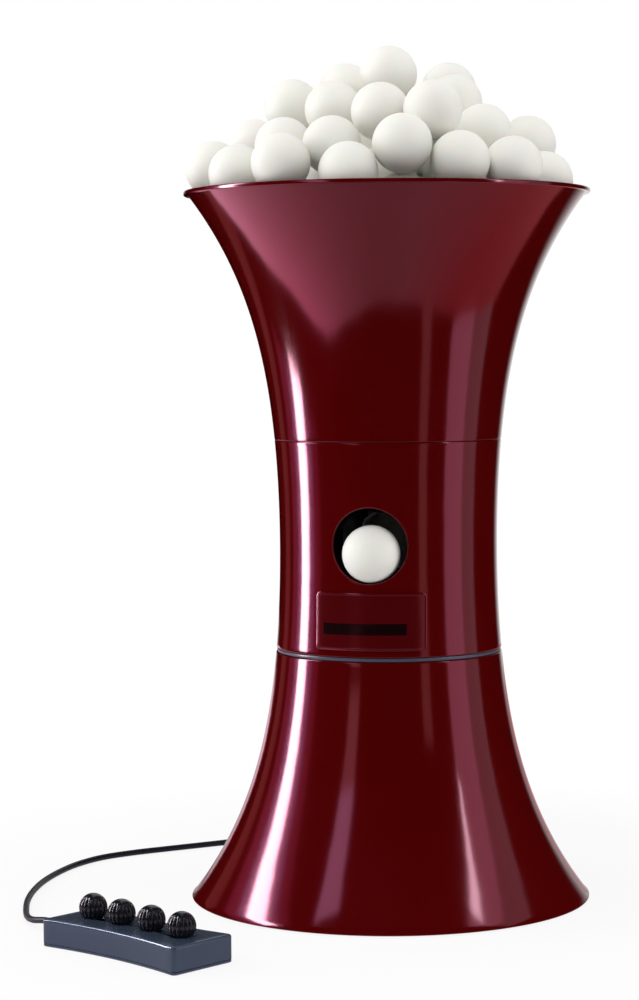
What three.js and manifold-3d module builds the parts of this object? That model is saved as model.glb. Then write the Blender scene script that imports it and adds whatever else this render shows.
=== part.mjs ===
// Table tennis robot: a waisted tower that throws balls, with a wired control box.
// Millimetres, +Z up. The origin is on the table at the tower's axis, and the outlet looks along -Y.

import * as THREE from "three";
import * as BufferGeometryUtils from "three/addons/utils/BufferGeometryUtils.js";
import Module from "manifold-3d";

const wasm = await Module();
wasm.setup();

// Tower outline
const waistRadius = 77;
const rimRadius = 142;
const shellWall = 3;
const baseTop = 175;
const bandHeight = 3.3;
const waistHeight = 146.7;
const hopperHeight = 175;
const lipHeight = 3;
const lipReach = 1;
const spigotHeight = 6;
const spigotWall = 2;
const rootHeight = 7;
const ledgeReach = 4;
const ledgeDrop = 6;
const shellSides = 26;
const bellSpans = 5;
const waistSpans = 3;

// Clearances
const seatGap = 0.3;
const fitGap = 0.25;
const overrun = 2;

// Balls
const ballDiameter = 40;
const ballGap = 0.15;
const heapRise = 103;
const neckRadius = 0.8;
const neckInsetShare = 0.74;
const swayShare = 0.1;
const crowdShare = 0.8;
const coverShare = 1.15;
const settleRounds = 500;
const sinkShare = 0.01;
const looseTimeShare = 0.6;
const homePullShare = 0.2;

// Base
const padHeight = 2;
const shellLift = 0.6;
const plateHeight = 6;
const deckDrop = 9;
const deckHeight = 4;
const bossRadius = 6;
const bossInset = 30;
const bossHeight = 28;
const screwShank = 1.9;
const screwHead = 4;
const screwHeadHeight = 2.4;
const screwLength = 18;
const screwCount = 3;
const screwTurnShare = 0.25;

// Swivel
const ringBore = 64;
const bandInset = 0.8;
const spindleRadius = 9;
const spindleBore = 6;
const spindleTail = 13.3;
const spindleFlange = 20;
const spindleFlangeHeight = 3.7;
const clipGroove = 1;
const clipHeight = 1.6;
const clipRadius = 13;
const clipMouth = 12;
const bushWall = 4;
const bushDrop = 6.7;
const bushFlange = 18;
const bushFlangeHeight = 4;
const gearModule = 1.5;
const sectorTeeth = 56;
const pinionTeeth = 14;
const gearHeight = 7.6;
const sectorHub = 15;
const sectorHalfAngle = 33;
const gearBacklash = 0.35;
const gearClearance = 0.25;
const pinionLift = 0.4;
const motorShaftRadius = 3;
const bracketWall = 2;
const bracketInner = 20;
const bracketNear = 45;
const bracketFar = 62;
const swivelGearboxRadius = 17;
const swivelGearboxHeight = 26;
const swivelMotorRadius = 14;
const swivelMotorHeight = 34;

// Head
const floorHeight = 4;
const sidePlateWall = 2.5;
const sidePlateFront = 38;
const sidePlateBack = 24;
const sidePlateRise = 18.5;
const sidePlateFoot = 10;
const wheelFloorGap = 5.2;
const outletPlay = 6;
const nozzleWall = 2.4;
const nozzleBack = 46;
const outletBallY = -68;
const wheelRadius = 24;
const wheelWidth = 18;
const wheelSides = 14;
const wheelY = -18;
const ballSqueeze = 2;
const tyreWall = 6;
const hubRim = 3;
const hubWeb = 4;
const hubNave = 6;
const spokeHoleRadius = 2.6;
const spokeHoles = 3;
const wheelShaftRadius = 2.5;
const motorRadius = 14;
const motorLength = 32;
const motorNoseRadius = 6;
const motorNose = 1.8;
const motorBoreDepth = 6;

// Name plate, left bare
const labelRise = 4.7;
const labelHeight = 39.5;
const labelWidth = 77;
const labelCorner = 3;
const labelThickness = 0.8;
const labelGap = 0.25;

// Ball feed
const feedFloorRise = 84;
const feedFloorHeight = 3;
const cupRadius = 75;
const cupWall = 2.5;
const skirtRimDepth = 22;
const discGap = 2;
const discHeight = 37.5;
const pocketPlay = 1.5;
const pocketWall = 3.5;
const pocketCount = 5;
const domeRadius = 24;
const domeSink = 8;
const feedShaftRadius = 4;
const feedShaftRise = 20;
const feedShaftDrop = 8;
const feedGearboxRadius = 20;
const feedGearboxHeight = 27;
const feedMotorRadius = 15;
const feedMotorHeight = 36;
const chutePlay = 1;
const chuteWall = 1.8;
const chuteBend = 30;
const chuteFront = 6;
const chuteCollar = 3.2;
const chuteCollarHeight = 3;

// Electronics in the base
const boardWidth = 70;
const boardDepth = 50;
const boardThickness = 1.6;
const boardLift = 8;
const boardLegRadius = 3;
const boardY = -40;
const chipWidth = 18;
const chipHeight = 5;
const capacitorRadius = 6;
const capacitorHeight = 16;
const socketAngle = 62;
const socketHeight = 26;
const socketRadius = 6;
const socketBore = 3.6;
const socketPin = 1.1;
const socketLength = 18;
const socketDepth = 9;
const glandAngle = 90;

// Cable
const cableDiameter = 4.4;
const cableSides = 8;
const cableRest = 2.35;
const glandHeight = 17;
const glandRadius = 4.6;
const glandTip = 3;
const glandInside = 6;
const glandOutside = 22;
const glandFlange = 1.6;
const coilTurns = 7;
const coilExitAngle = 130;
const coilInner = 18;
const coilPitch = 4.95;
const coilSides = 6;
const coilSteps = 16;
const coilLift = 3.3;
const coilCentreY = 208;
const tieThickness = 0.6;
const tieWidth = 9;
const tieGap = 0.3;
const tieAngle = -110;

// Control box
const boxLength = 126;
const boxWidth = 52;
const boxHeight = 18;
const boxWaist = 5;
const boxCorner = 3;
const boxBevel = 1.5;
const boxWall = 2;
const boxCentre = [-129.2, -213.3];
const boxTurn = -32;
const coverHeight = 2;
const knobPlaceShares = [-0.327, -0.11, 0.115, 0.34];
const knobRadius = 9.4;
const knobCentreHeight = 24.6;
const knobFoot = 18.5;
const knobFlutes = 10;
const knobFluteDepth = 0.7;
const dialShaftRadius = 3;
const dialShaftFoot = 10.4;
const dialShaftTop = 28;
const dialBodyRadius = 8;
const dialBodyTop = 14.5;
const dialBoardFoot = 6;
const boxGlandRadius = 3.8;
const boxGlandTip = 2.9;
const boxGlandLength = 9;
const boxGlandHeight = 9;

const ballRadius = ballDiameter / 2;
const headFoot = baseTop + bandHeight;
const headTop = headFoot + waistHeight;
const towerHeight = headTop + hopperHeight;
const heapTop = towerHeight + heapRise;
const deckFoot = baseTop - deckDrop;
const deckTop = deckFoot + deckHeight;
const bushFoot = deckFoot - bushDrop;
const spindleFoot = bushFoot - spindleTail;
const headFloorTop = headFoot + floorHeight;
const labelFoot = headFoot + labelRise;
const plateTop = padHeight + plateHeight;
const bossTop = plateTop + bossHeight;
const bossCircle = rimRadius - bossInset;
const feedFloorFoot = headTop + feedFloorRise;
const skirtRimHeight = towerHeight - skirtRimDepth;
const feedFloorTop = feedFloorFoot + feedFloorHeight;
const discFoot = feedFloorTop + seatGap;
const discTop = discFoot + discHeight;
const discRadius = cupRadius - discGap;
const pocketRadius = ballRadius + pocketPlay;
const pocketCircle = discRadius - pocketWall - pocketRadius;
const chuteBore = ballRadius + chutePlay;
const sidePlateInner = chuteBore + chuteWall + seatGap;
const outletRadius = ballRadius + outletPlay;
const wheelOffset = wheelRadius + ballRadius - ballSqueeze / 2;
const outletHeight = headFloorTop + wheelFloorGap + wheelRadius + wheelOffset;
const sidePlateTop = outletHeight + wheelOffset + sidePlateRise;

const group = new THREE.Group();

// Materials

function finish(color, roughness, metalness) {
  return new THREE.MeshStandardMaterial({ color, roughness, metalness });
}

const finishes = {
  red: () => finish(0x4f0a10, 0.18, 0),
  black: () => finish(0x17181c, 0.3, 0),
  graphite: () => finish(0x2b2e35, 0.4, 0),
  cable: () => finish(0x101113, 0.5, 0),
  rubber: () => finish(0x1b1b1c, 0.85, 0),
  steel: () => finish(0x8d9095, 0.4, 1),
  white: () => finish(0xd9d9d4, 0.5, 0),
  ball: () => finish(0xf4f2ea, 0.45, 0),
  board: () => finish(0x1d5a34, 0.5, 0),
  gear: () => finish(0xe3dfd2, 0.5, 0),
  tyre: () => finish(0x3a3a3d, 0.9, 0),
};

// Geometry helpers

function degrees(angle) {
  return THREE.MathUtils.degToRad(angle);
}

// One closed skin: shared vertices, no flat triangles, faces out.
function sealed(source) {
  const bare = source.clone();
  bare.deleteAttribute("normal");
  bare.deleteAttribute("uv");
  const merged = BufferGeometryUtils.mergeVertices(bare);
  const from = merged.getIndex().array;
  const kept = [];
  for (let i = 0; i < from.length; i += 3) {
    const [a, b, c] = [from[i], from[i + 1], from[i + 2]];
    if (a !== b && b !== c && c !== a) kept.push(a, b, c);
  }
  const place = merged.getAttribute("position");
  const corners = [0, 1, 2].map(() => new THREE.Vector3());
  let volume = 0;
  for (let i = 0; i < kept.length; i += 3) {
    corners.forEach((corner, k) => corner.fromBufferAttribute(place, kept[i + k]));
    volume += corners[0].dot(corners[1].clone().cross(corners[2]));
  }
  if (volume < 0) kept.reverse();
  merged.setIndex(kept);
  merged.computeVertexNormals();
  return merged;
}

function toManifold(geometry) {
  const closed = sealed(geometry);
  return new wasm.Manifold(new wasm.Mesh({
    numProp: 3,
    vertProperties: new Float32Array(closed.getAttribute("position").array),
    triVerts: new Uint32Array(closed.getIndex().array),
  }));
}

function fromManifold(solid) {
  const mesh = solid.getMesh();
  const geometry = new THREE.BufferGeometry();
  geometry.setAttribute("position", new THREE.BufferAttribute(mesh.vertProperties, 3));
  geometry.setIndex(new THREE.BufferAttribute(mesh.triVerts, 1));
  return geometry;
}

function join(...parts) {
  return fromManifold(parts.map(toManifold).reduce((whole, part) => whole.add(part)));
}

function cut(body, ...tools) {
  const start = toManifold(body);
  return fromManifold(tools.map(toManifold).reduce((rest, tool) => rest.subtract(tool), start));
}

function common(body, other) {
  return fromManifold(toManifold(body).intersect(toManifold(other)));
}

// A profile of [radius, height] turned about Z.
function turned(profile, sides = shellSides) {
  const points = profile.map(([radius, height]) => new THREE.Vector2(radius, height));
  return sealed(new THREE.LatheGeometry(points, sides).rotateX(Math.PI / 2));
}

function closedTurned(profile, sides = shellSides) {
  return turned([...profile, profile[0]], sides);
}

function rod(radius, foot, top, sides = 16) {
  return turned([[0, foot], [radius, foot], [radius, top], [0, top]], sides);
}

function pipe(bore, radius, foot, top, sides = 24) {
  return closedTurned([[bore, foot], [radius, foot], [radius, top], [bore, top]], sides);
}

// A box from its lowest to its highest corner.
function block(low, high) {
  const size = high.map((value, axis) => value - low[axis]);
  const middle = high.map((value, axis) => (value + low[axis]) / 2);
  return new THREE.BoxGeometry(...size).translate(...middle);
}

// Turns a solid that stands along +Z so that it points along +X.
function alongX(geometry) {
  return geometry.rotateY(Math.PI / 2);
}

// Turns a solid that stands along +Z so that it points along -Y.
function alongMinusY(geometry) {
  return geometry.rotateX(Math.PI / 2);
}

// Lays a solid that stands along +Z outwards along a radius of the tower.
function radially(geometry, angle, height) {
  return geometry.rotateY(Math.PI / 2).rotateZ(degrees(angle)).translate(0, 0, height);
}

function prism(shape, height, foot = 0, curveSegments = 6) {
  const geometry = new THREE.ExtrudeGeometry(shape, { depth: height, bevelEnabled: false, curveSegments });
  return sealed(geometry.translate(0, 0, foot));
}

// A tube with a ring of points at each stop of a path, closed at both ends.
function tubeThrough(stops, radius, sides) {
  const place = [];
  const index = [];
  const side = new THREE.Vector3();
  const rim = new THREE.Vector3();
  const last = stops.length - 1;
  const steep = Math.abs(stops[1].z - stops[0].z) > stops[1].distanceTo(stops[0]) / 2;
  let normal = steep ? new THREE.Vector3(1, 0, 0) : new THREE.Vector3(0, 0, 1);
  stops.forEach((stop, i) => {
    const before = stops[Math.max(i - 1, 0)];
    const after = stops[Math.min(i + 1, last)];
    const along = after.clone().sub(before).normalize();
    normal = normal.clone().addScaledVector(along, -normal.dot(along)).normalize();
    side.crossVectors(along, normal);
    for (let k = 0; k < sides; k += 1) {
      const angle = (k / sides) * 2 * Math.PI;
      rim.copy(stop).addScaledVector(normal, radius * Math.cos(angle));
      rim.addScaledVector(side, radius * Math.sin(angle));
      place.push(rim.x, rim.y, rim.z);
    }
  });
  for (let i = 0; i < last; i += 1) {
    for (let k = 0; k < sides; k += 1) {
      const [a, b] = [i * sides + k, i * sides + ((k + 1) % sides)];
      index.push(a, b, b + sides, a, b + sides, a + sides);
    }
  }
  for (let k = 1; k < sides - 1; k += 1) {
    index.push(0, k + 1, k);
    index.push(last * sides, last * sides + k, last * sides + k + 1);
  }
  const geometry = new THREE.BufferGeometry();
  geometry.setAttribute("position", new THREE.Float32BufferAttribute(place, 3));
  geometry.setIndex(index);
  return sealed(geometry);
}

// A free cable through hand-chosen points.
function cableThrough(points, steps) {
  const route = points.map((point) => new THREE.Vector3(...point));
  const curve = new THREE.CatmullRomCurve3(route, false, "centripetal");
  const section = new THREE.Shape();
  for (let k = 0; k < cableSides; k += 1) {
    const angle = ((k + 0.5) / cableSides) * 2 * Math.PI;
    const [x, y] = [Math.cos(angle) * cableDiameter / 2, Math.sin(angle) * cableDiameter / 2];
    if (k === 0) section.moveTo(x, y);
    else section.lineTo(x, y);
  }
  return sealed(new THREE.ExtrudeGeometry(section, { steps, extrudePath: curve, bevelEnabled: false }));
}

function add(name, geometry, material, parent = group) {
  const mesh = new THREE.Mesh(sealed(geometry), material());
  mesh.name = name;
  parent.add(mesh);
  return mesh;
}

// Tower outline

// The radius falls from the foot to the waist and rises again to the rim, the same both ways.
function bellRadius(height) {
  const half = towerHeight / 2;
  const away = ((height - half) / half) ** 2;
  return waistRadius + (rimRadius - waistRadius) * (away + away * away) / 2;
}

function innerRadius(height) {
  return bellRadius(height) - shellWall;
}

// Points up one face of a shell.
function facePoints(radiusAt, foot, top, spans) {
  const points = [];
  for (let i = 0; i <= spans; i += 1) {
    const height = foot + (top - foot) * (i / spans);
    points.push([radiusAt(height), height]);
  }
  return points;
}

// The radius of a faceted shell, on the straight run between two of its points.
function straightBetween(points, height) {
  const next = points.findIndex((point) => point[1] >= height);
  const [low, high] = [points[next - 1], points[next]];
  return THREE.MathUtils.mapLinear(height, low[1], high[1], low[0], high[0]);
}

// The solid inside a shell's inner face, for trimming what fits in it.
function shellCore(foot, top, gap) {
  const wall = facePoints((height) => innerRadius(height) - gap, foot, top, bellSpans);
  return turned([[0, foot], ...wall, [0, top]]);
}

// Base

function screwAngle(index) {
  return (index + screwTurnShare) * 2 * Math.PI / screwCount;
}

function baseShell() {
  const outside = facePoints(bellRadius, shellLift, baseTop, bellSpans);
  const ledgeFoot = deckFoot - ledgeDrop;
  const inside = [
    [innerRadius(baseTop), baseTop],
    [innerRadius(deckFoot), deckFoot],
    [innerRadius(deckFoot) - ledgeReach, deckFoot],
    ...facePoints(innerRadius, shellLift, ledgeFoot, bellSpans - 1).reverse(),
  ];
  let shell = closedTurned([...outside, ...inside]);
  const core = shellCore(plateTop, bossTop, -shellWall / 2);
  for (let i = 0; i < screwCount; i += 1) {
    const boss = block([bossCircle - bossRadius, -bossRadius, plateTop], [rimRadius, bossRadius, bossTop]);
    const hole = rod(screwShank + 2 * fitGap, plateTop - overrun, padHeight + screwLength + overrun, 6);
    const fixing = cut(boss, hole.translate(bossCircle, 0, 0));
    shell = join(shell, common(fixing.rotateZ(screwAngle(i)), core));
  }
  const through = (radius, height) => rod(radius + fitGap, bellRadius(height) - 3 * shellWall, rimRadius, 14);
  const gland = radially(through(glandRadius, glandHeight), glandAngle, glandHeight);
  const socket = radially(through(socketRadius, socketHeight), socketAngle, socketHeight);
  return cut(shell, gland, socket);
}

function basePlate() {
  let plate = rod(innerRadius(plateTop) - seatGap, padHeight, plateTop, shellSides);
  for (let i = 0; i < screwCount; i += 1) {
    const [x, y] = [bossCircle * Math.cos(screwAngle(i)), bossCircle * Math.sin(screwAngle(i))];
    const sink = rod(screwHead + fitGap, padHeight - overrun, padHeight + screwHeadHeight + 2 * fitGap, 8);
    const hole = rod(screwShank + fitGap, padHeight, plateTop + overrun, 8);
    plate = cut(plate, sink.translate(x, y, 0), hole.translate(x, y, 0));
  }
  return plate;
}

function baseScrew(index) {
  const angle = screwAngle(index);
  const foot = padHeight + fitGap;
  const head = rod(screwHead, foot, foot + screwHeadHeight, 8);
  const shank = rod(screwShank, foot, padHeight + screwLength, 8);
  return join(head, shank).translate(bossCircle * Math.cos(angle), bossCircle * Math.sin(angle), 0);
}

function baseDeck() {
  const deck = rod(innerRadius(deckTop) - seatGap, deckFoot, deckTop, shellSides);
  const bushBore = spindleRadius + fitGap + bushWall + fitGap;
  return cut(deck, rod(bushBore, deckFoot - overrun, deckTop + overrun, 14));
}

function glideRing() {
  const inner = innerRadius(baseTop) - seatGap;
  const outer = bellRadius(baseTop) - bandInset;
  const step = baseTop + seatGap;
  const top = headFoot - seatGap;
  return closedTurned([[ringBore, deckTop], [inner, deckTop], [inner, step], [outer, step], [outer, top],
    [ringBore, top]]);
}

function swivelBush() {
  const bore = spindleRadius + fitGap;
  const body = bore + bushWall;
  const top = deckTop + bushFlangeHeight;
  return closedTurned([[bore, bushFoot], [body, bushFoot], [body, deckTop], [bushFlange, deckTop],
    [bushFlange, top], [bore, top]], 14);
}

// Swivel drive: the sector on the spindle and the pinion behind it.

function toothWidthAngle(teeth, share) {
  return 2 * Math.PI / teeth * share;
}

// One tooth's outline from its root to its tip, as [radius, angle] pairs.
function toothPoints(pitchRadius, teeth) {
  const tip = pitchRadius + gearModule;
  const root = pitchRadius - gearModule - gearClearance;
  const rootShare = 0.38;
  const tipShare = 0.12;
  const slack = gearBacklash / pitchRadius / 2;
  const halfRoot = toothWidthAngle(teeth, rootShare) - slack;
  const halfTip = toothWidthAngle(teeth, tipShare) - slack;
  return [[root, -halfRoot], [tip, -halfTip], [tip, halfTip], [root, halfRoot]];
}

function outlineOf(polar) {
  const shape = new THREE.Shape();
  polar.forEach(([radius, angle], i) => {
    const [x, y] = [radius * Math.cos(angle), radius * Math.sin(angle)];
    if (i === 0) shape.moveTo(x, y);
    else shape.lineTo(x, y);
  });
  shape.closePath();
  return shape;
}

function teethAround(pitchRadius, teeth, first, count, centre) {
  const polar = [];
  for (let i = 0; i < count; i += 1) {
    const middle = centre + (first + i) * 2 * Math.PI / teeth;
    toothPoints(pitchRadius, teeth).forEach(([radius, angle]) => polar.push([radius, middle + angle]));
  }
  return polar;
}

const sectorPitch = gearModule * sectorTeeth / 2;
const pinionPitch = gearModule * pinionTeeth / 2;
const gearDistance = sectorPitch + pinionPitch;
const gearFoot = bushFoot - seatGap - gearHeight;

function swivelSector() {
  const count = 2 * Math.round(sectorHalfAngle / 360 * sectorTeeth);
  const first = -(count - 1) / 2;
  const teeth = teethAround(sectorPitch, sectorTeeth, first, count, Math.PI / 2);
  const arm = outlineOf([...teeth, [sectorHub, Math.PI], [sectorHub, 0]]);
  const hub = rod(sectorHub, gearFoot, gearFoot + gearHeight, 24);
  const bore = rod(spindleRadius + fitGap, gearFoot - overrun, gearFoot + gearHeight + overrun, 24);
  return cut(join(prism(arm, gearHeight, gearFoot), hub), bore);
}

// One of the pinion's teeth points at the sector's middle gap.
function swivelPinion() {
  const teeth = teethAround(pinionPitch, pinionTeeth, 0, pinionTeeth, -Math.PI / 2);
  const wheel = prism(outlineOf(teeth), gearHeight - pinionLift, gearFoot + pinionLift);
  const bore = rod(motorShaftRadius + fitGap, gearFoot - overrun, gearFoot + gearHeight + overrun, 14);
  return cut(wheel, bore).translate(0, gearDistance, 0);
}

const bracketFoot = gearFoot - seatGap - bracketWall;

function swivelMotorShaft() {
  const foot = bracketFoot - motorBoreDepth + fitGap;
  return rod(motorShaftRadius, foot, gearFoot + gearHeight, 14).translate(0, gearDistance, 0);
}

function swivelBracket() {
  const outer = bracketInner + bracketWall;
  const floor = block([-outer, bracketNear, bracketFoot], [outer, bracketFar, bracketFoot + bracketWall]);
  const legs = [-1, 1].map((side) => block(
    [side < 0 ? -outer : bracketInner, bracketNear, bracketFoot],
    [side < 0 ? -bracketInner : outer, bracketFar, deckFoot],
  ));
  const [low, high] = [bracketFoot - overrun, bracketFoot + bracketWall + overrun];
  const hole = rod(motorShaftRadius + 2 * fitGap, low, high, 14);
  return cut(join(floor, ...legs), hole.translate(0, gearDistance, 0));
}

function swivelGearbox() {
  const body = rod(swivelGearboxRadius, bracketFoot - swivelGearboxHeight, bracketFoot, 16);
  const bore = rod(motorShaftRadius + fitGap, bracketFoot - motorBoreDepth, bracketFoot + overrun, 14);
  return cut(body, bore).translate(0, gearDistance, 0);
}

function swivelMotor() {
  const top = bracketFoot - swivelGearboxHeight;
  return rod(swivelMotorRadius, top - swivelMotorHeight, top, 16).translate(0, gearDistance, 0);
}

function swivelSpindle() {
  const groove = spindleRadius - clipGroove;
  const clipFoot = gearFoot - seatGap - clipHeight - fitGap;
  const grooveTop = gearFoot - seatGap;
  const flangeFoot = headFoot - spindleFlangeHeight;
  return closedTurned([[spindleBore, spindleFoot], [spindleRadius, spindleFoot], [spindleRadius, clipFoot],
    [groove, clipFoot], [groove, grooveTop], [spindleRadius, grooveTop], [spindleRadius, flangeFoot],
    [spindleFlange, flangeFoot], [spindleFlange, headFoot], [spindleBore, headFoot]], 12);
}

function spindleClip() {
  const top = gearFoot - seatGap - fitGap / 2;
  const ring = pipe(spindleRadius - clipGroove + fitGap, clipRadius, top - clipHeight, top, 12);
  const [half, foot] = [clipMouth / 2, top - clipHeight];
  return cut(ring, block([-half, -clipRadius - overrun, foot - overrun], [half, 0, top + overrun]));
}

// Electronics in the base

function controlBoard() {
  const foot = plateTop + boardLift;
  const top = foot + boardThickness;
  const [halfWidth, halfDepth] = [boardWidth / 2, boardDepth / 2];
  const legs = [];
  for (const x of [-1, 1]) {
    for (const y of [-1, 1]) {
      const leg = rod(boardLegRadius, plateTop, foot + boardThickness / 2, 6);
      legs.push(leg.translate(x * (halfWidth - boardLegRadius), y * (halfDepth - boardLegRadius), 0));
    }
  }
  const half = chipWidth / 2;
  const chip = block([-half, -half, foot], [half, half, top + chipHeight]);
  const cans = [-1, 1].map((side) => rod(capacitorRadius, foot, top + capacitorHeight, 8)
    .translate(side * boardWidth / 3, halfDepth / 2, 0));
  const sheet = block([-halfWidth, -halfDepth, foot], [halfWidth, halfDepth, top]);
  return join(sheet, chip, ...cans, ...legs).translate(0, boardY, 0);
}

function powerSocket() {
  const mouth = bellRadius(socketHeight);
  const foot = mouth - socketLength;
  const bore = rod(socketBore, mouth - socketDepth, mouth + overrun, 10);
  const body = cut(rod(socketRadius, foot, mouth, 12), bore);
  const pin = rod(socketPin, foot + overrun, mouth - overrun, 8);
  return radially(join(body, pin), socketAngle, socketHeight);
}

// A gland that clamps the cable in the wall and tapers outside it.
function cableGland() {
  const wall = bellRadius(glandHeight);
  const foot = wall - shellWall - glandInside;
  const nut = innerRadius(glandHeight + glandRadius) - shellWall;
  const flange = glandRadius + glandFlange;
  const body = turned([[0, foot], [flange, foot], [flange, nut], [glandRadius, nut],
    [glandRadius, wall], [glandTip, wall + glandOutside], [0, wall + glandOutside]], 12);
  return radially(body, glandAngle, glandHeight);
}

// Head

function midShell() {
  const outside = facePoints(bellRadius, headFoot, headTop, waistSpans);
  const seat = innerRadius(headTop) - seatGap;
  const neck = headTop - rootHeight;
  const inside = [
    [seat, headTop],
    [seat, headTop + spigotHeight],
    [seat - spigotWall, headTop + spigotHeight],
    [seat - spigotWall, headTop],
    ...facePoints(innerRadius, headFloorTop + ledgeDrop, neck, waistSpans - 1).reverse(),
    [innerRadius(headFloorTop) - ledgeReach, headFloorTop],
    [innerRadius(headFloorTop), headFloorTop],
    [innerRadius(headFoot), headFoot],
  ];
  const shell = closedTurned([...outside, ...inside]);
  const hole = alongMinusY(rod(outletRadius, 0, bellRadius(headTop) + overrun, 32));
  return cut(shell, hole.translate(0, 0, outletHeight));
}

function headFloor() {
  const floor = rod(innerRadius(headFloorTop) - seatGap, headFoot, headFloorTop, shellSides);
  return cut(floor, rod(spindleBore, headFoot - overrun, headFloorTop + overrun, 12));
}

const wheelHeights = { upper: outletHeight + wheelOffset, lower: outletHeight - wheelOffset };

function sidePlate(side) {
  const inner = sidePlateInner;
  const outer = sidePlateInner + sidePlateWall;
  const [front, back] = [-sidePlateFront, sidePlateBack];
  const wall = block([inner, front, headFloorTop], [outer, back, sidePlateTop]);
  const footTop = headFloorTop + sidePlateWall;
  const foot = block([inner, front, headFloorTop], [outer + sidePlateFoot, back, footTop]);
  const hole = alongX(rod(motorNoseRadius + fitGap, inner - overrun, outer + overrun, 12));
  const holes = Object.values(wheelHeights).map((height) => hole.clone().translate(0, wheelY, height));
  const plate = cut(join(wall, foot), ...holes);
  return side > 0 ? plate : plate.rotateZ(Math.PI).translate(0, back + front, 0);
}

function wheelHub(height) {
  const half = wheelWidth / 2;
  const outer = wheelRadius - tyreWall - seatGap;
  const inner = outer - hubRim;
  const bore = wheelShaftRadius + fitGap;
  const profile = [[bore, -half], [hubNave, -half], [hubNave, -hubWeb / 2], [inner, -hubWeb / 2],
    [inner, -half], [outer, -half], [outer, half], [bore, half]];
  let hub = closedTurned(profile, wheelSides);
  for (let i = 0; i < spokeHoles; i += 1) {
    const angle = i * 2 * Math.PI / spokeHoles;
    const reach = (hubNave + inner) / 2;
    const hole = rod(spokeHoleRadius, -hubWeb, wheelWidth, 6);
    hub = cut(hub, hole.translate(reach * Math.cos(angle), reach * Math.sin(angle), 0));
  }
  return alongX(hub).translate(0, wheelY, height);
}

function wheelTyre(height) {
  const half = wheelWidth / 2;
  const inner = wheelRadius - tyreWall;
  const crown = tyreWall / 4;
  const tyre = closedTurned([[inner, -half], [wheelRadius - crown, -half], [wheelRadius, -half / 2],
    [wheelRadius, half / 2], [wheelRadius - crown, half], [inner, half]], wheelSides);
  return alongX(tyre).translate(0, wheelY, height);
}

function wheelShaft(height) {
  const end = sidePlateInner + sidePlateWall - motorNose + motorBoreDepth - fitGap;
  return alongX(rod(wheelShaftRadius, -wheelWidth / 2, end, 12)).translate(0, wheelY, height);
}

function wheelMotor(height) {
  const face = sidePlateInner + sidePlateWall;
  const can = rod(motorRadius, face, face + motorLength, 16);
  const tip = face - motorNose;
  const nose = rod(motorNoseRadius, tip, face + motorNose, 12);
  const bore = rod(wheelShaftRadius + fitGap, tip - overrun, tip + motorBoreDepth, 10);
  return alongX(cut(join(can, nose), bore)).translate(0, wheelY, height);
}

// The mouth behind the outlet hole, trimmed to the inside of the shell.
function outletNozzle() {
  const bore = outletRadius + seatGap;
  const reach = bellRadius(headTop);
  const tube = alongMinusY(pipe(bore, bore + nozzleWall, nozzleBack, reach, 22));
  const core = shellCore(headFoot, headTop, seatGap);
  return common(tube.translate(0, 0, outletHeight), core);
}

function ballChute() {
  const low = outletHeight + chuteBend;
  const stops = [[pocketCircle, feedFloorFoot], [pocketCircle, low]];
  const bends = 5;
  for (let i = 1; i <= bends; i += 1) {
    const angle = i / bends * Math.PI / 2;
    stops.push([pocketCircle - chuteBend * (1 - Math.cos(angle)), low - chuteBend * Math.sin(angle)]);
  }
  stops.push([chuteFront, outletHeight]);
  const path = stops.map(([y, z]) => new THREE.Vector3(0, y, z));
  const outer = tubeThrough(path, chuteBore + chuteWall, 10);
  const longer = path.map((point) => point.clone());
  longer[0].z += overrun;
  longer[longer.length - 1].y -= overrun;
  const collarRadius = chuteBore + chuteWall + chuteCollar;
  const collar = rod(collarRadius, feedFloorFoot - chuteCollarHeight, feedFloorFoot, 12);
  return cut(join(outer, collar.translate(0, pocketCircle, 0)), tubeThrough(longer, chuteBore, 10));
}

function labelPlate() {
  const stops = facePoints(bellRadius, headFoot, headTop, waistSpans);
  const grow = (gap) => (height) => straightBetween(stops, height) + gap;
  const top = labelFoot + labelHeight;
  const inner = facePoints(grow(labelGap), labelFoot, top, 1);
  const outer = facePoints(grow(labelGap + labelThickness), labelFoot, top, 1).reverse();
  const ring = closedTurned([...inner, ...outer], shellSides * 2);
  const [half, corner] = [labelWidth / 2, labelCorner];
  const shape = new THREE.Shape();
  shape.moveTo(-half + corner, labelFoot);
  shape.lineTo(half - corner, labelFoot);
  shape.quadraticCurveTo(half, labelFoot, half, labelFoot + corner);
  shape.lineTo(half, top - corner);
  shape.quadraticCurveTo(half, top, half - corner, top);
  shape.lineTo(-half + corner, top);
  shape.quadraticCurveTo(-half, top, -half, top - corner);
  shape.lineTo(-half, labelFoot + corner);
  shape.quadraticCurveTo(-half, labelFoot, -half + corner, labelFoot);
  return common(ring, prism(shape, rimRadius, 0, 2).rotateX(Math.PI / 2));
}

// Hopper and ball feed

function hopperShell() {
  const foot = headTop + seatGap;
  const outside = facePoints(bellRadius, foot, towerHeight - lipHeight, bellSpans);
  const lipEdge = bellRadius(towerHeight) + lipReach;
  const lip = [[lipEdge, towerHeight - lipHeight], [lipEdge, towerHeight]];
  const inside = facePoints(innerRadius, foot, towerHeight, bellSpans - 1).reverse();
  return closedTurned([...outside, ...lip, ...inside]);
}

const skirtRim = innerRadius(skirtRimHeight) - seatGap;

function hopperFloor() {
  const floor = rod(cupRadius + cupWall, feedFloorFoot, feedFloorTop, shellSides);
  const shaft = rod(feedShaftRadius + fitGap, feedFloorFoot - overrun, feedFloorTop + overrun, 16);
  const drop = rod(pocketRadius, feedFloorFoot - overrun, feedFloorTop + overrun, 12);
  return cut(floor, shaft, drop.translate(0, pocketCircle, 0));
}

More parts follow.
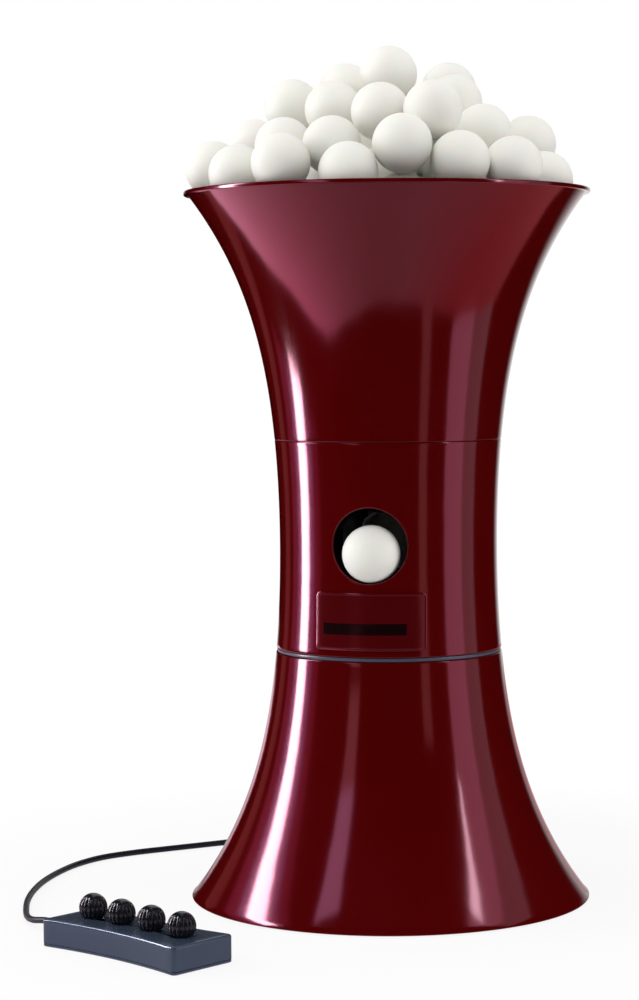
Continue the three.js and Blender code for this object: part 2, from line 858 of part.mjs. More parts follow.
// The ring that stands on the hopper's floor round the feed disc and slopes up to the wall.
function hopperFunnel() {
  const [foot, outer] = [feedFloorTop + seatGap, cupRadius + cupWall];
  const slopeFoot = skirtRimHeight - cupWall;
  return closedTurned([[cupRadius, foot], [outer, foot], [outer, discTop - cupWall],
    [innerRadius(slopeFoot) - seatGap, slopeFoot], [skirtRim, skirtRimHeight], [cupRadius, discTop]]);
}

function feedDisc() {
  const domeHeight = discTop - domeSink;
  const dome = new THREE.SphereGeometry(domeRadius, 12, 8).rotateX(Math.PI / 2).translate(0, 0, domeHeight);
  const cap = common(dome, rod(domeRadius + overrun, domeHeight, discTop + domeRadius, 12));
  let disc = join(rod(discRadius, discFoot, discTop, 20), cap);
  for (let i = 0; i < pocketCount; i += 1) {
    const pocket = rod(pocketRadius, discFoot - overrun, discTop + overrun, 10).translate(0, pocketCircle, 0);
    disc = cut(disc, pocket.rotateZ(i * 2 * Math.PI / pocketCount));
  }
  const bore = rod(feedShaftRadius + fitGap, discFoot - overrun, discFoot + feedShaftRise + fitGap, 16);
  return cut(disc, bore);
}

function feedShaft() {
  return rod(feedShaftRadius, feedFloorFoot - feedShaftDrop, discFoot + feedShaftRise, 16);
}

function feedGearbox() {
  const body = rod(feedGearboxRadius, feedFloorFoot - feedGearboxHeight, feedFloorFoot, 18);
  const boreFoot = feedFloorFoot - feedShaftDrop - fitGap;
  return cut(body, rod(feedShaftRadius + fitGap, boreFoot, feedFloorFoot + overrun, 16));
}

function feedMotor() {
  const top = feedFloorFoot - feedGearboxHeight;
  return rod(feedMotorRadius, top - feedMotorHeight, top, 16);
}

// Balls

// The balls seen from the front, as shares: x and y of the rim's radius, height over the rim of a ball.
const shownBallShares = [
  [0.02, -0.03, 2.02], [-0.25, 0.17, 1.79], [0.26, 0.32, 1.78], [-0.5, 0.12, 1.47], [-0.24, -0.13, 1.37],
  [0.05, -0.44, 1.25], [0.35, -0.06, 1.37], [0.48, -0.2, 0.92], [0.69, 0.12, 0.79], [-0.44, -0.37, 0.72],
  [-0.15, -0.63, 0.57], [-0.62, 0.06, 0.71], [-0.83, -0.15, 0.34], [-0.63, -0.56, 0.19], [-0.36, -0.76, 0.19],
  [-0.03, -0.84, 0.13], [0.21, -0.74, 0.48], [0.46, -0.63, 0.35], [0.66, -0.47, 0.2], [0.81, -0.15, 0.0],
];

// Pushes a ball back inside the hopper's floor, skirt, wall and dome.
function keepInHopper(ball) {
  const clear = ballRadius + ballGap;
  const facetShare = Math.cos(Math.PI / shellSides);
  const cup = [cupRadius * facetShare, discTop];
  const skirt = [skirtRim * facetShare, skirtRimHeight];
  const rim = [innerRadius(towerHeight) * facetShare, towerHeight];
  const faces = [[[0, discTop], cup], [cup, skirt], [skirt, rim]];
  for (const [low, high] of faces) {
    const run = new THREE.Vector2(high[0] - low[0], high[1] - low[1]).normalize();
    const reach = Math.hypot(ball.x, ball.y);
    const away = (ball.z - low[1]) * run.x - (reach - low[0]) * run.y;
    if (away < clear) {
      const push = clear - away;
      const pull = reach > 0 ? Math.max(reach - push * run.y, 0) / reach : 1;
      ball.set(ball.x * pull, ball.y * pull, ball.z + push * run.x);
    }
  }
  const fromDome = new THREE.Vector3(0, 0, domeSink - discTop).add(ball);
  const room = domeRadius + clear;
  if (fromDome.length() < room) ball.addScaledVector(fromDome.normalize(), room - fromDome.length());
}

function heapHeight(reach) {
  const fallShare = 0.155;
  return heapTop - ballRadius - towerHeight * fallShare * (reach / (rimRadius - ballRadius)) ** 2;
}

// Loose layers under and behind the balls that show, where there is room.
function fillHeap(balls) {
  const layers = Math.ceil((heapTop - discTop) / ballRadius);
  const across = Math.ceil(rimRadius / ballDiameter) + 1;
  for (let layer = 0; layer < layers; layer += 1) {
    for (let row = -across; row <= across; row += 1) {
      for (let column = -across; column <= across; column += 1) {
        const stagger = (row + layer) % 2 === 0 ? 0 : 1 / 2;
        const sway = new THREE.Vector3(Math.sin(7 * row + 3 * column + layer), Math.sin(5 * column - 2 * row),
          Math.sin(4 * row + 9 * column));
        const place = new THREE.Vector3(column + stagger, (row + (layer % 2) / 3) * Math.sqrt(3) / 2,
          layer * Math.sqrt(2 / 3));
        place.addScaledVector(sway, swayShare).multiplyScalar(ballDiameter);
        place.z += discTop + ballRadius;
        const reach = Math.hypot(place.x, place.y);
        const room = innerRadius(Math.min(place.z, towerHeight)) - ballRadius;
        const clear = balls.every((ball) => ball.distanceTo(place) > ballDiameter * crowdShare);
        if (reach < room && place.z < heapHeight(reach) && clear) balls.push(place);
      }
    }
  }
}

// A ball is buried when others cover it from above and from outside.
function buriedIn(balls, ball) {
  const views = [new THREE.Vector3(0, 0, 1)];
  const around = 8;
  const rise = Math.tan(degrees(19.3));
  for (let k = 0; k < around; k += 1) {
    const angle = k / around * 2 * Math.PI;
    views.push(new THREE.Vector3(Math.cos(angle), Math.sin(angle), rise).normalize());
  }
  const away = new THREE.Vector3();
  return views.every((view) => {
    let blocked = view.z < 1 && ball.z < towerHeight - ballRadius / 2;
    balls.forEach((other) => {
      away.subVectors(other, ball);
      const along = away.dot(view);
      const aside = away.addScaledVector(view, -along).length();
      if (along > ballRadius && aside < ballRadius * coverShare) blocked = true;
    });
    return blocked;
  });
}

// Lets the balls sink and push each other apart until they lie clear of each other.
function settle(balls, shown) {
  const homes = balls.map((ball) => ball.clone());
  const between = new THREE.Vector3();
  for (let round = 0; round < settleRounds; round += 1) {
    const loose = round < settleRounds * looseTimeShare;
    balls.forEach((ball, i) => {
      if (loose && i >= shown) ball.z -= ballDiameter * sinkShare;
      if (loose && i < shown) ball.lerp(homes[i], homePullShare);
    });
    for (let i = 0; i < balls.length; i += 1) {
      for (let k = i + 1; k < balls.length; k += 1) {
        between.subVectors(balls[k], balls[i]);
        const gap = between.length() - ballDiameter - ballGap;
        if (gap < 0) {
          between.setLength(-gap / 2);
          balls[i].sub(between);
          balls[k].add(between);
        }
      }
    }
    balls.forEach(keepInHopper);
  }
}

// Short necks where neighbours touch, along the shortest tree that links every ball.
function linksBetween(balls) {
  const linked = [0];
  const links = [];
  while (linked.length < balls.length) {
    let best = [0, 0, Infinity];
    for (const a of linked) {
      for (let b = 0; b < balls.length; b += 1) {
        const gap = balls[a].distanceTo(balls[b]);
        if (gap < best[2] && !linked.includes(b)) best = [a, b, gap];
      }
    }
    linked.push(best[1]);
    links.push([balls[best[0]], balls[best[1]]]);
  }
  return links;
}

function neck([from, to]) {
  const run = to.clone().sub(from);
  const length = run.length() - 2 * ballRadius * neckInsetShare;
  const bar = new THREE.CylinderGeometry(neckRadius, neckRadius, length, 3);
  const way = run.clone().normalize();
  bar.applyQuaternion(new THREE.Quaternion().setFromUnitVectors(new THREE.Vector3(0, 1, 0), way));
  const middle = from.clone().add(to).divideScalar(2);
  return bar.translate(middle.x, middle.y, middle.z);
}

// A ball with few faces: more detail splits each face in four.
function ballAt(place, detail) {
  return new THREE.IcosahedronGeometry(ballRadius, detail).translate(place.x, place.y, place.z);
}

function ballHeap() {
  const balls = shownBallShares.map(([x, y, z]) => (
    new THREE.Vector3(x * rimRadius, y * rimRadius, towerHeight + z * ballDiameter)));
  const shown = balls.length;
  fillHeap(balls);
  settle(balls, shown);
  const bodies = balls.map((ball) => ballAt(ball, buriedIn(balls, ball) ? 0 : 1));
  console.log(`balls in the heap ${balls.length}`);
  return join(...bodies, ...linksBetween(balls).map(neck));
}

function outletBall() {
  const rest = outletHeight - (outletRadius + seatGap) + ballRadius + seatGap;
  return new THREE.IcosahedronGeometry(ballRadius, 2).translate(0, outletBallY, rest);
}

// Cable

const coilOuter = coilInner + coilPitch * (coilTurns + coilExitAngle / 360) / 2;
const coilTop = coilLift + coilPitch;

// The coil starts straight behind the gland.
const coilCentre = [-coilOuter, coilCentreY];

// Where the centre of the coiled cable is, at a share of its way in and out again.
function coilPoint(share) {
  const whole = coilTurns * 360 + coilExitAngle;
  const angle = degrees(share * whole);
  const swing = Math.abs(2 * share - 1);
  const radius = coilInner + (coilOuter - coilInner) * swing;
  const climb = THREE.MathUtils.smoothstep((share - 1 / 2) * whole, -90, 90);
  const height = coilLift + coilPitch * climb;
  const [x, y] = coilCentre;
  return new THREE.Vector3(x + radius * Math.cos(angle), y + radius * Math.sin(angle), height);
}

// The way that the cable points where it leaves the coil.
function coilWayOut() {
  const angle = degrees(coilExitAngle + 90);
  return new THREE.Vector3(Math.cos(angle), Math.sin(angle), 0);
}

function coilStops() {
  const count = Math.round((coilTurns + coilExitAngle / 360) * coilSteps);
  const stops = [];
  for (let i = 0; i <= count; i += 1) stops.push(coilPoint(i / count));
  const first = new THREE.Vector3(0, -cableDiameter, 0).add(stops[0]);
  const last = coilWayOut().multiplyScalar(cableDiameter).add(stops[count]);
  return [first, ...stops, last];
}

// The smallest gap between turns, measured on points along the centre line more than half a turn apart.
function leastGap(stops) {
  const apart = coilSteps / 2;
  let least = Infinity;
  const fine = [];
  for (let i = 0; i < stops.length - 1; i += 1) {
    for (const share of [0, 1 / 4, 2 / 4, 3 / 4]) {
      fine.push([i + share, stops[i].clone().lerp(stops[i + 1], share)]);
    }
  }
  for (let i = 0; i < fine.length; i += 1) {
    for (let k = i + 1; k < fine.length; k += 1) {
      if (fine[k][0] - fine[i][0] > apart) least = Math.min(least, fine[i][1].distanceTo(fine[k][1]));
    }
  }
  return least - cableDiameter;
}

function cableCoil() {
  const stops = coilStops();
  console.log(`least gap between the coil's turns ${leastGap(stops).toFixed(2)} mm`);
  return tubeThrough(stops, cableDiameter / 2, coilSides);
}

function cableTail() {
  const start = bellRadius(glandHeight) + glandOutside + seatGap;
  const end = coilStops()[0];
  return cableThrough([
    [end.x, start, glandHeight],
    [end.x, start + cableDiameter, glandHeight],
    [end.x, 170, 13.4],
    [end.x, 180, 8.4],
    [end.x, 190, 4.5],
    [end.x, end.y - seatGap - cableDiameter, coilLift],
    [end.x, end.y - seatGap, coilLift],
  ], 9);
}

// The long visible stretch, from the coil round the left of the tower to the control box.
function cableRun() {
  const from = coilStops().at(-1).addScaledVector(coilWayOut(), seatGap);
  const straight = from.clone().addScaledVector(coilWayOut(), cableDiameter);
  const [far, near] = [boxCableEnd(seatGap), boxCableEnd(seatGap + cableDiameter)];
  return cableThrough([
    from.toArray(),
    straight.toArray(),
    [-80, 217, 5.2],
    [-97, 204, 3],
    [-116, 190, cableRest],
    [-138, 175, cableRest],
    [-158, 158, cableRest],
    [-178, 141, cableRest],
    [-199, 123, cableRest],
    [-220, 104, cableRest],
    [-238, 82, cableRest],
    [-249, 54, cableRest],
    [-254, 22, cableRest],
    [-255, -12, cableRest],
    [-252, -46, cableRest],
    [-246, -78, cableRest],
    [-238, -106, cableRest],
    [-229, -131, 3],
    [-219, -149, 5],
    [-207, -160.5, 7.6],
    near,
    far,
  ], 38);
}

function coilTie() {
  const inner = Math.sqrt(coilInner ** 2 - (tieWidth / 2) ** 2) - cableDiameter / 2 - tieGap;
  const outer = coilOuter + cableDiameter / 2 + tieGap;
  const [low, high] = [coilLift - cableDiameter / 2 - tieGap, coilTop + cableDiameter / 2 + tieGap];
  const around = block([inner - tieThickness, -tieWidth / 2, low - tieThickness],
    [outer + tieThickness, tieWidth / 2, high + tieThickness]);
  const hole = block([inner, -tieWidth / 2 - overrun, low], [outer, tieWidth / 2 + overrun, high]);
  return cut(around, hole).rotateZ(degrees(tieAngle)).translate(...coilCentre, 0);
}

// Control box

// Where the cable's centre is, a way out from the end of the box's cable relief.
function boxCableEnd(way) {
  const reach = -(boxLength / 2 + boxGlandLength + way);
  const turn = degrees(boxTurn);
  return [boxCentre[0] + reach * Math.cos(turn), boxCentre[1] + reach * Math.sin(turn), boxGlandHeight];
}

// The box seen from above: long sides that draw in at the middle, and round corners.
function boxOutline(inset) {
  const [length, width] = [boxLength / 2 - inset, boxWidth / 2 - inset];
  const corner = boxCorner - inset / 2;
  const draw = width - 2 * boxWaist;
  const shape = new THREE.Shape();
  shape.moveTo(-length + corner, -width);
  shape.quadraticCurveTo(0, -draw, length - corner, -width);
  shape.lineTo(length, -width + corner);
  shape.lineTo(length, width - corner);
  shape.lineTo(length - corner, width);
  shape.quadraticCurveTo(0, draw, -length + corner, width);
  shape.lineTo(-length, width - corner);
  shape.lineTo(-length, -width + corner);
  shape.closePath();
  return shape;
}

function knobPlaces() {
  return knobPlaceShares.map((share) => share * boxLength);
}

function boxTopCase() {
  const foot = coverHeight;
  const body = prism(boxOutline(0), boxHeight - boxBevel - foot, foot);
  const crown = prism(boxOutline(boxBevel), boxHeight - foot, foot);
  const hollow = prism(boxOutline(boxWall), boxHeight - boxWall - foot + overrun, foot - overrun);
  const roomy = dialShaftRadius + 2 * fitGap;
  const holes = knobPlaces().map((x) => (
    rod(roomy, boxHeight - 2 * boxWall, boxHeight + overrun, 8).translate(x, 0, 0)));
  const end = -boxLength / 2;
  const gland = alongX(rod(boxGlandRadius + fitGap, end - overrun, end + 2 * boxWall, 14));
  return cut(join(body, crown), hollow, gland.translate(0, 0, boxGlandHeight), ...holes);
}

function boxCover() {
  const sheet = prism(boxOutline(0), coverHeight);
  const pillars = [-1, 1].map((side) => (
    rod(boxWall, coverHeight / 2, dialBoardFoot, 10).translate(side * boxLength / 3, 0, 0)));
  return join(sheet, ...pillars);
}

function dialBoard() {
  const [length, width] = [boxLength / 2 - boxCorner - boxWall, boxWidth / 2 - boxWaist - 2 * boxWall];
  const sheet = block([-length, -width, dialBoardFoot], [length, width, dialBoardFoot + boardThickness]);
  const dials = knobPlaces().map((x) => (
    rod(dialBodyRadius, dialBoardFoot, dialBodyTop, 8).translate(x, 0, 0)));
  const boreFoot = dialShaftFoot - fitGap;
  const bores = knobPlaces().map((x) => (
    rod(dialShaftRadius + fitGap, boreFoot, dialBodyTop + overrun, 8).translate(x, 0, 0)));
  return cut(join(sheet, ...dials), ...bores);
}

function dialShaft() {
  return rod(dialShaftRadius, dialShaftFoot, dialShaftTop, 8);
}

// A ribbed ball cut flat underneath, with a blind hole for the dial's shaft.
function knob() {
  const rings = 4;
  const around = knobFlutes * 2;
  const foot = knobFoot - knobCentreHeight;
  const lowest = Math.acos(foot / knobRadius);
  const place = [0, 0, knobRadius];
  const index = [];
  for (let ring = 1; ring <= rings; ring += 1) {
    const polar = lowest * ring / rings;
    const depth = ring > 1 ? knobFluteDepth : 0;
    for (let k = 0; k < around; k += 1) {
      const radius = knobRadius * Math.sin(polar) - (k % 2) * depth;
      const angle = k / around * 2 * Math.PI;
      place.push(radius * Math.cos(angle), radius * Math.sin(angle), knobRadius * Math.cos(polar));
    }
  }
  place.push(0, 0, foot);
  const at = (ring, k) => 1 + (ring - 1) * around + (k % around);
  for (let k = 0; k < around; k += 1) {
    index.push(0, at(1, k), at(1, k + 1));
    for (let ring = 1; ring < rings; ring += 1) {
      index.push(at(ring, k), at(ring + 1, k), at(ring + 1, k + 1));
      index.push(at(ring, k), at(ring + 1, k + 1), at(ring, k + 1));
    }
    index.push(at(rings, k), 1 + rings * around, at(rings, k + 1));
  }
  const geometry = new THREE.BufferGeometry();
  geometry.setAttribute("position", new THREE.Float32BufferAttribute(place, 3));
  geometry.setIndex(index);
  const hole = rod(dialShaftRadius + fitGap, foot - overrun, dialShaftTop + fitGap - knobCentreHeight, 8);
  return cut(sealed(geometry), hole).translate(0, 0, knobCentreHeight);
}

function boxGland() {
  const wall = -boxLength / 2;
  const inside = wall + boxWall + 2 * seatGap;
  const flange = boxGlandRadius + boxWall / 2;
  const end = wall - boxGlandLength;
  const body = turned([[0, end], [boxGlandTip, end], [boxGlandRadius, wall], [boxGlandRadius, inside],
    [flange, inside], [flange, inside + boxWall], [0, inside + boxWall]], 10);
  return alongX(body).translate(0, 0, boxGlandHeight);
}

// Assembly

add("base_shell", baseShell(), finishes.red);
add("base_plate", basePlate(), finishes.steel);
add("base_pad", rod(innerRadius(padHeight) - seatGap, 0, padHeight, shellSides), finishes.rubber);
add("base_deck", baseDeck(), finishes.black);
add("glide_ring", glideRing(), finishes.black);
add("swivel_bush", swivelBush(), finishes.white);
add("swivel_bracket", swivelBracket(), finishes.steel);
add("swivel_gearbox", swivelGearbox(), finishes.steel);
add("swivel_motor", swivelMotor(), finishes.steel);
add("swivel_motor_shaft", swivelMotorShaft(), finishes.steel);
add("swivel_pinion", swivelPinion(), finishes.gear);
add("control_board", controlBoard(), finishes.board);
add("power_socket", powerSocket(), finishes.black);
add("cable_gland", cableGland(), finishes.black);
for (let i = 0; i < screwCount; i += 1) add(`base_screw_${i + 1}`, baseScrew(i), finishes.steel);

add("mid_shell", midShell(), finishes.red);
add("head_floor", headFloor(), finishes.black);
add("swivel_spindle", swivelSpindle(), finishes.steel);
add("swivel_sector", swivelSector(), finishes.gear);
add("spindle_clip", spindleClip(), finishes.steel);
add("right_side_plate", sidePlate(1), finishes.steel);
add("left_side_plate", sidePlate(-1), finishes.steel);
add("outlet_nozzle", outletNozzle(), finishes.black);
add("ball_chute", ballChute(), finishes.white);
add("label_plate", labelPlate(), finishes.red);
for (const [name, height] of Object.entries(wheelHeights)) {
  add(`${name}_motor`, wheelMotor(height), finishes.steel);
  add(`${name}_wheel_shaft`, wheelShaft(height), finishes.steel);
  add(`${name}_wheel_hub`, wheelHub(height), finishes.white);
  add(`${name}_wheel_tyre`, wheelTyre(height), finishes.tyre);
}
add("hopper_shell", hopperShell(), finishes.red);
add("hopper_floor", hopperFloor(), finishes.black);
add("hopper_funnel", hopperFunnel(), finishes.black);
add("feed_gearbox", feedGearbox(), finishes.steel);
add("feed_motor", feedMotor(), finishes.steel);
add("feed_shaft", feedShaft(), finishes.steel);
add("feed_disc", feedDisc(), finishes.white);
add("outlet_ball", outletBall(), finishes.ball);
add("ball_heap", ballHeap(), finishes.ball);

add("cable_tail", cableTail(), finishes.cable);
add("cable_coil", cableCoil(), finishes.cable);
add("coil_tie", coilTie(), finishes.rubber);
add("cable_run", cableRun(), finishes.cable);

const box = new THREE.Group();
box.position.set(boxCentre[0], boxCentre[1], 0);
box.rotation.z = degrees(boxTurn);
group.add(box);
add("box_top_case", boxTopCase(), finishes.graphite, box);
add("box_cover", boxCover(), finishes.graphite, box);
add("dial_board", dialBoard(), finishes.board, box);
add("box_cable_relief", boxGland(), finishes.black, box);
knobPlaces().forEach((x, i) => {
  const dial = new THREE.Group();
  dial.position.set(x, 0, 0);
  box.add(dial);
  add(`dial_shaft_${i + 1}`, dialShaft(), finishes.steel, dial);
  add(`knob_${i + 1}`, knob(), finishes.black, dial);
});

export default group;
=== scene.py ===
import math

import bmesh
import bpy
import mathutils
import numpy as np
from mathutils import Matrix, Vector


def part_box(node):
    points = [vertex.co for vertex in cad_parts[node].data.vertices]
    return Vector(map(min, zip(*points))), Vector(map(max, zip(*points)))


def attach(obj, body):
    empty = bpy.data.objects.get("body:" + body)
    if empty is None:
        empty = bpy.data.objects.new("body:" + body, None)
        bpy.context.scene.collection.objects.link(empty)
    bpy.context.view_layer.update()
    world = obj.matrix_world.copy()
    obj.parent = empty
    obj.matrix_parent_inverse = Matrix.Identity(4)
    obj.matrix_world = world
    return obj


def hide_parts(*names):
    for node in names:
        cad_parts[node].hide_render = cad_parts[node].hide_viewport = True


# Table tennis robot. Everything is in metres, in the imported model's frame.

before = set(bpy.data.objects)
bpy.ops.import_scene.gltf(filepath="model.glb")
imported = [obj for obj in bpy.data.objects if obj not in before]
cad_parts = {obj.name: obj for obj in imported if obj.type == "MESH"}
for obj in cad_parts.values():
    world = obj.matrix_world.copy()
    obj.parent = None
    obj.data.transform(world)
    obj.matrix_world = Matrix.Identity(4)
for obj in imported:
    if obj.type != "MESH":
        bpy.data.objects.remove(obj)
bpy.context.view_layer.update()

# The tower's outline, as the shells have it
TOWER_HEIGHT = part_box("hopper_shell")[1].z
BASE_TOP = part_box("base_shell")[1].z
HEAD_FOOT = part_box("mid_shell")[0].z
HOPPER_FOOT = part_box("hopper_shell")[0].z
SHELL_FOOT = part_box("base_shell")[0].z
PAD_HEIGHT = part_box("base_pad")[1].z
PAD_ROUND = 0.0006
WAIST_RADIUS = 0.077
RIM_RADIUS = 0.142
SHELL_WALL = 0.003
SEAT_GAP = 0.0003
BASE_LEDGE_HEIGHT = 0.166
LEDGE_REACH = 0.004
LEDGE_DROP = 0.006
LIP_HEIGHT = 0.003
LIP_REACH = 0.001
SEAM_ROUND = 0.0006
HEAD_TOP = HOPPER_FOOT - SEAT_GAP
SPIGOT_HEIGHT = 0.006
SPIGOT_WALL = 0.002
ROOT_HEIGHT = 0.007
LIP_ROUNDS = (0, 0.0008, 0.0011, 0.0011)
RING_ROUND = 0.0003

# The ball outlet and what lies round it
OUTLET_HEIGHT = 0.2545
OUTLET_RADIUS = 0.026
OUTLET_ROUND = 0.0008
NOZZLE_WALL = 0.0024
NOZZLE_BACK = -0.046
NOZZLE_SIDES = 128
BALL_RADIUS = 0.020
BAND_INSET = 0.0008
RING_BORE = 0.064

# The name plate
LABEL_CORNER = 0.003
LABEL_THICKNESS = 0.0008
PLATE_LINE_INSET = 0.0012
PLATE_LINE_WIDTH = 0.0007
PLATE_BAR_WIDTH = 0.0585
PLATE_BAR_THICKNESS = 0.0078
PLATE_BAR_HEIGHT = 0.0147
PLATE_BAR_SHIFT = -0.0036
PLATE_LINE_BLUR = 0.0002
PLATE_BAR_BLUR = 0.0003
PLATE_LINE_SHARE = 0.35
PLATE_LINE_RELIEF = 2.0
# The raised line's lighter red is a painted highlight, where its edge catches the light
PLATE_LINE_HIGHLIGHT_COLOUR = (0.16, 0.02, 0.035, 1)
PLATE_BAR_COLOUR = (0.007, 0.0015, 0.002, 1)

# The cable's sizes, and its coil with the tie that holds it
CABLE_DIAMETER = 0.0044
CABLE_REST = 0.00235
ROUTE_STEPS = 4
COIL_STEPS = 24
COIL_TURNS = 7
COIL_EXIT_ANGLE = 130
COIL_WHOLE_TURNS = COIL_TURNS + COIL_EXIT_ANGLE / 360
COIL_INNER = 0.018
COIL_PITCH = 0.00495
COIL_LIFT = 0.0033
COIL_CENTRE_Y = 0.208
TIE_ANGLE = math.radians(-110)
TIE_WIDTH = 0.009
TIE_THICKNESS = 0.0006
TIE_GAP = 0.0003

# The cable's gland and the supply inlet at the back of the base, and the holes they sit in
GLAND_HEIGHT = 0.017
GLAND_OUTSIDE = 0.022
GLAND_RADIUS = 0.0046
GLAND_TIP = 0.003
GLAND_INSIDE = 0.006
GLAND_FLANGE = 0.0016
GLAND_HOLE_DEPTH = 0.02
SOCKET_HOLE_DEPTH = 0.03
HOLE_OVERRUN = 0.02
SOCKET_ANGLE = math.radians(62)
SOCKET_HEIGHT = 0.026
SOCKET_RADIUS = 0.006
SOCKET_BORE = 0.0036
SOCKET_PIN = 0.0011
SOCKET_LENGTH = 0.018
SOCKET_DEPTH = 0.009

# The control box
BOX_LENGTH = 0.126
BOX_WIDTH = 0.052
BOX_HEIGHT = 0.018
BOX_WAIST = 0.005
BOX_CENTRE = (-0.1292, -0.2133)
BOX_TURN = math.radians(-32)
BOX_CABLE_HEIGHT = 0.009
BOX_GLAND_LENGTH = 0.009
COVER_HEIGHT = 0.002
COVER_INSET = 0.0001
COVER_CHAMFER = 0.0007
COVER_ROUND = 0.0005
BOX_EDGE = 0.0003
BOX_BEVEL = 0.0015
BOX_CORNER = 0.003
BOX_WALL = 0.002
BOX_MIDDLE = BOX_WIDTH / 2 - BOX_WAIST - 0.001
BOX_GLAND_RADIUS = 0.0038
BOX_GLAND_TIP = 0.0029
KNOB_PLACE_SHARES = (-0.327, -0.11, 0.115, 0.34)
KNOB_RADIUS = 0.0094
KNOB_CENTRE_HEIGHT = 0.0246
KNOB_ROWS = 40
KNOB_RIBS = 18
RIB_STEPS = 24
KNOB_RIB_DEPTH = 0.0009
KNOB_TUCK = 0.03
RIB_START = 0.24
RIB_FADE = 0.2
GROOVE_HALF = 0.0006
GROOVE_DEPTH = 0.0005
DIAL_SHAFT_RADIUS = 0.003
DIAL_SHAFT_TOP = 0.028

# The camera that took the photograph, and its lens on a 36 mm frame
CAMERA_PLACE = (0.32219, -1.82722, 0.38879)
CAMERA_AIM = (-0.19911, 0.97829, -0.05742)
CAMERA_UP = (-0.00422, 0.05774, 0.99832)
CAMERA_LENS = 94.28
CAMERA_SENSOR = 36
CAMERA_NEAREST = 0.05

# The studio's backdrop, whose edge and full white are cosines of the angle from its middle, and how bright
# the room is on surfaces and in the gloss
BACKDROP_AZIMUTH = 175
BACKDROP_EDGE = 0.895
BACKDROP_WHITE = 0.985
ROOM_LIGHT = 0.5
ROOM_GLOSS = 0.002
WHITE = (1, 1, 1, 1)
MIDDLE_GREY = (0.5, 0.5, 0.5, 1)

# Each lamp's azimuth, distance from the tower's axis, height, height that it looks at, size and strength
LAMPS = {
    "key": (-90, 1.9, 0.6, 0.3, 1.5, 2.6),
    "fill": (90, 1.9, 0.6, 0.3, 1.5, 1.8),
    "top": (-30, 0.5, 2.4, 0.5, 1.4, 1.8),
    "front": (-15, 1.6, 2.2, 0.5, 1.2, 2.8),
}

# Each card's low and high edge, its strength, colour and distance. An edge is a height and two azimuths.
CARD_DISTANCE = 1.1
HALO_DISTANCE = 1.15
GLOW_DISTANCE = 1.2
CARDS = {
    "left_streak": ((0.1, -100.5, -89), (1.2, -101, -88), 22, (1, 0.97, 1), CARD_DISTANCE),
    "left_halo": ((0.12, -107, -82), (1.3, -107, -82), 1.2, (0.83, 0.4, 1), HALO_DISTANCE),
    "left_glow": ((0.1, -117, -74), (1.3, -117, -74), 0.5, (1, 0.15, 0.36), GLOW_DISTANCE),
    "back_shade": ((0.1, -176, -150), (0.5, -176, -150), 0, (1, 1, 1), CARD_DISTANCE),
    "left_back": ((0, -135, -124), (0.4, -135, -124), 0.3, (1, 0.27, 0.27), CARD_DISTANCE),
    "front_left_low": ((0.26, -37, -28), (0.5, -41.5, -30), 0.9, (1, 0.7, 0.65), CARD_DISTANCE),
    "front_left_high": ((0.5, -41.5, -30), (1.3, -57, -39.5), 2.1, (0.8, 0.72, 1), CARD_DISTANCE),
    "right_near": ((-0.15, 59, 80), (1.4, 57, 80), 1.4, (0.95, 0.66, 0.8), HALO_DISTANCE),
    "right_far": ((-0.15, 80, 98), (1.4, 80, 98), 0.5, (1, 0.97, 0.98), HALO_DISTANCE),
    "right_streak": ((0.42, 59.5, 61), (1.15, 59, 67), 11, (0.75, 1, 0.95), CARD_DISTANCE),
    "right_front": ((-0.3, 31, 39), (0.36, 31, 39), 0.6, (1, 0.7, 0.6), CARD_DISTANCE),
}

# The floor's edge: how far to the right its left and right sides lie, at places behind the tower
FLOOR_EDGES = ((-0.67, -0.3, 0.1), (-0.63, -0.58, 0.33), (-0.57, -0.73, 0.5), (-0.42, -0.82, 0.74),
               (-0.1, -0.87, 0.98), (0.2, -0.91, 1.06), (0.6, -0.86, 0.84), (1.6, -0.85, 0.8))
FLOOR_DROP = 0.0001
FLOOR_COLOUR = (0.93, 0.93, 0.93, 1)
FLOOR_ROUGHNESS = 0.75

# To the camera the floor turns white between two distances from the tower's axis, from a share on
FLOOR_WHITE_NEAR = 0.3
FLOOR_WHITE_FAR = 0.5
FLOOR_SHARE = 0.85

# Painted reflection: to glossy rays the floor is a glow, not a lit surface. Its colour changes over a left
# and a right part, each given by how far to the right it begins and ends. Its brightness is the least one
# plus a rise times the square of the way to the left, and right of the turn it stays as it is there.
FLOOR_GLOW_LEFT = (1.3, 0.66, 0.9, 1)
FLOOR_GLOW = (1, 0.84, 0.88, 1)
FLOOR_GLOW_RIGHT = (1.3, 0.36, 0.37, 1)
FLOOR_LEFT_PART = (-0.2, -0.8)
FLOOR_RIGHT_PART = (0.15, 0.65)
FLOOR_GLOW_LEAST = 0.54
FLOOR_GLOW_RISE = 2.4
FLOOR_GLOW_TURN = 0.15


# Shapes

# Points nearer than this are one point. An arc takes at most a share of a side, and a corner flatter than the
# last angle, which is half of the angle between its sides, stays as it is.
SAME_POINT = 1e-6
ARC_SHARE = 0.45
FLAT_CORNER = math.radians(88)


def bell_radius(height):
    """The waist's radius, plus the flare times half of a plus a squared, where a is the squared share of the
    way from the middle of the tower to its end."""
    away = ((height - TOWER_HEIGHT / 2) / (TOWER_HEIGHT / 2)) ** 2
    return WAIST_RADIUS + (RIM_RADIUS - WAIST_RADIUS) * (away + away * away) / 2


def linked(name, data):
    """An object with a name and data of its own, put into the scene."""
    made = bpy.data.objects.new(name, data)
    bpy.context.scene.collection.objects.link(made)
    return made


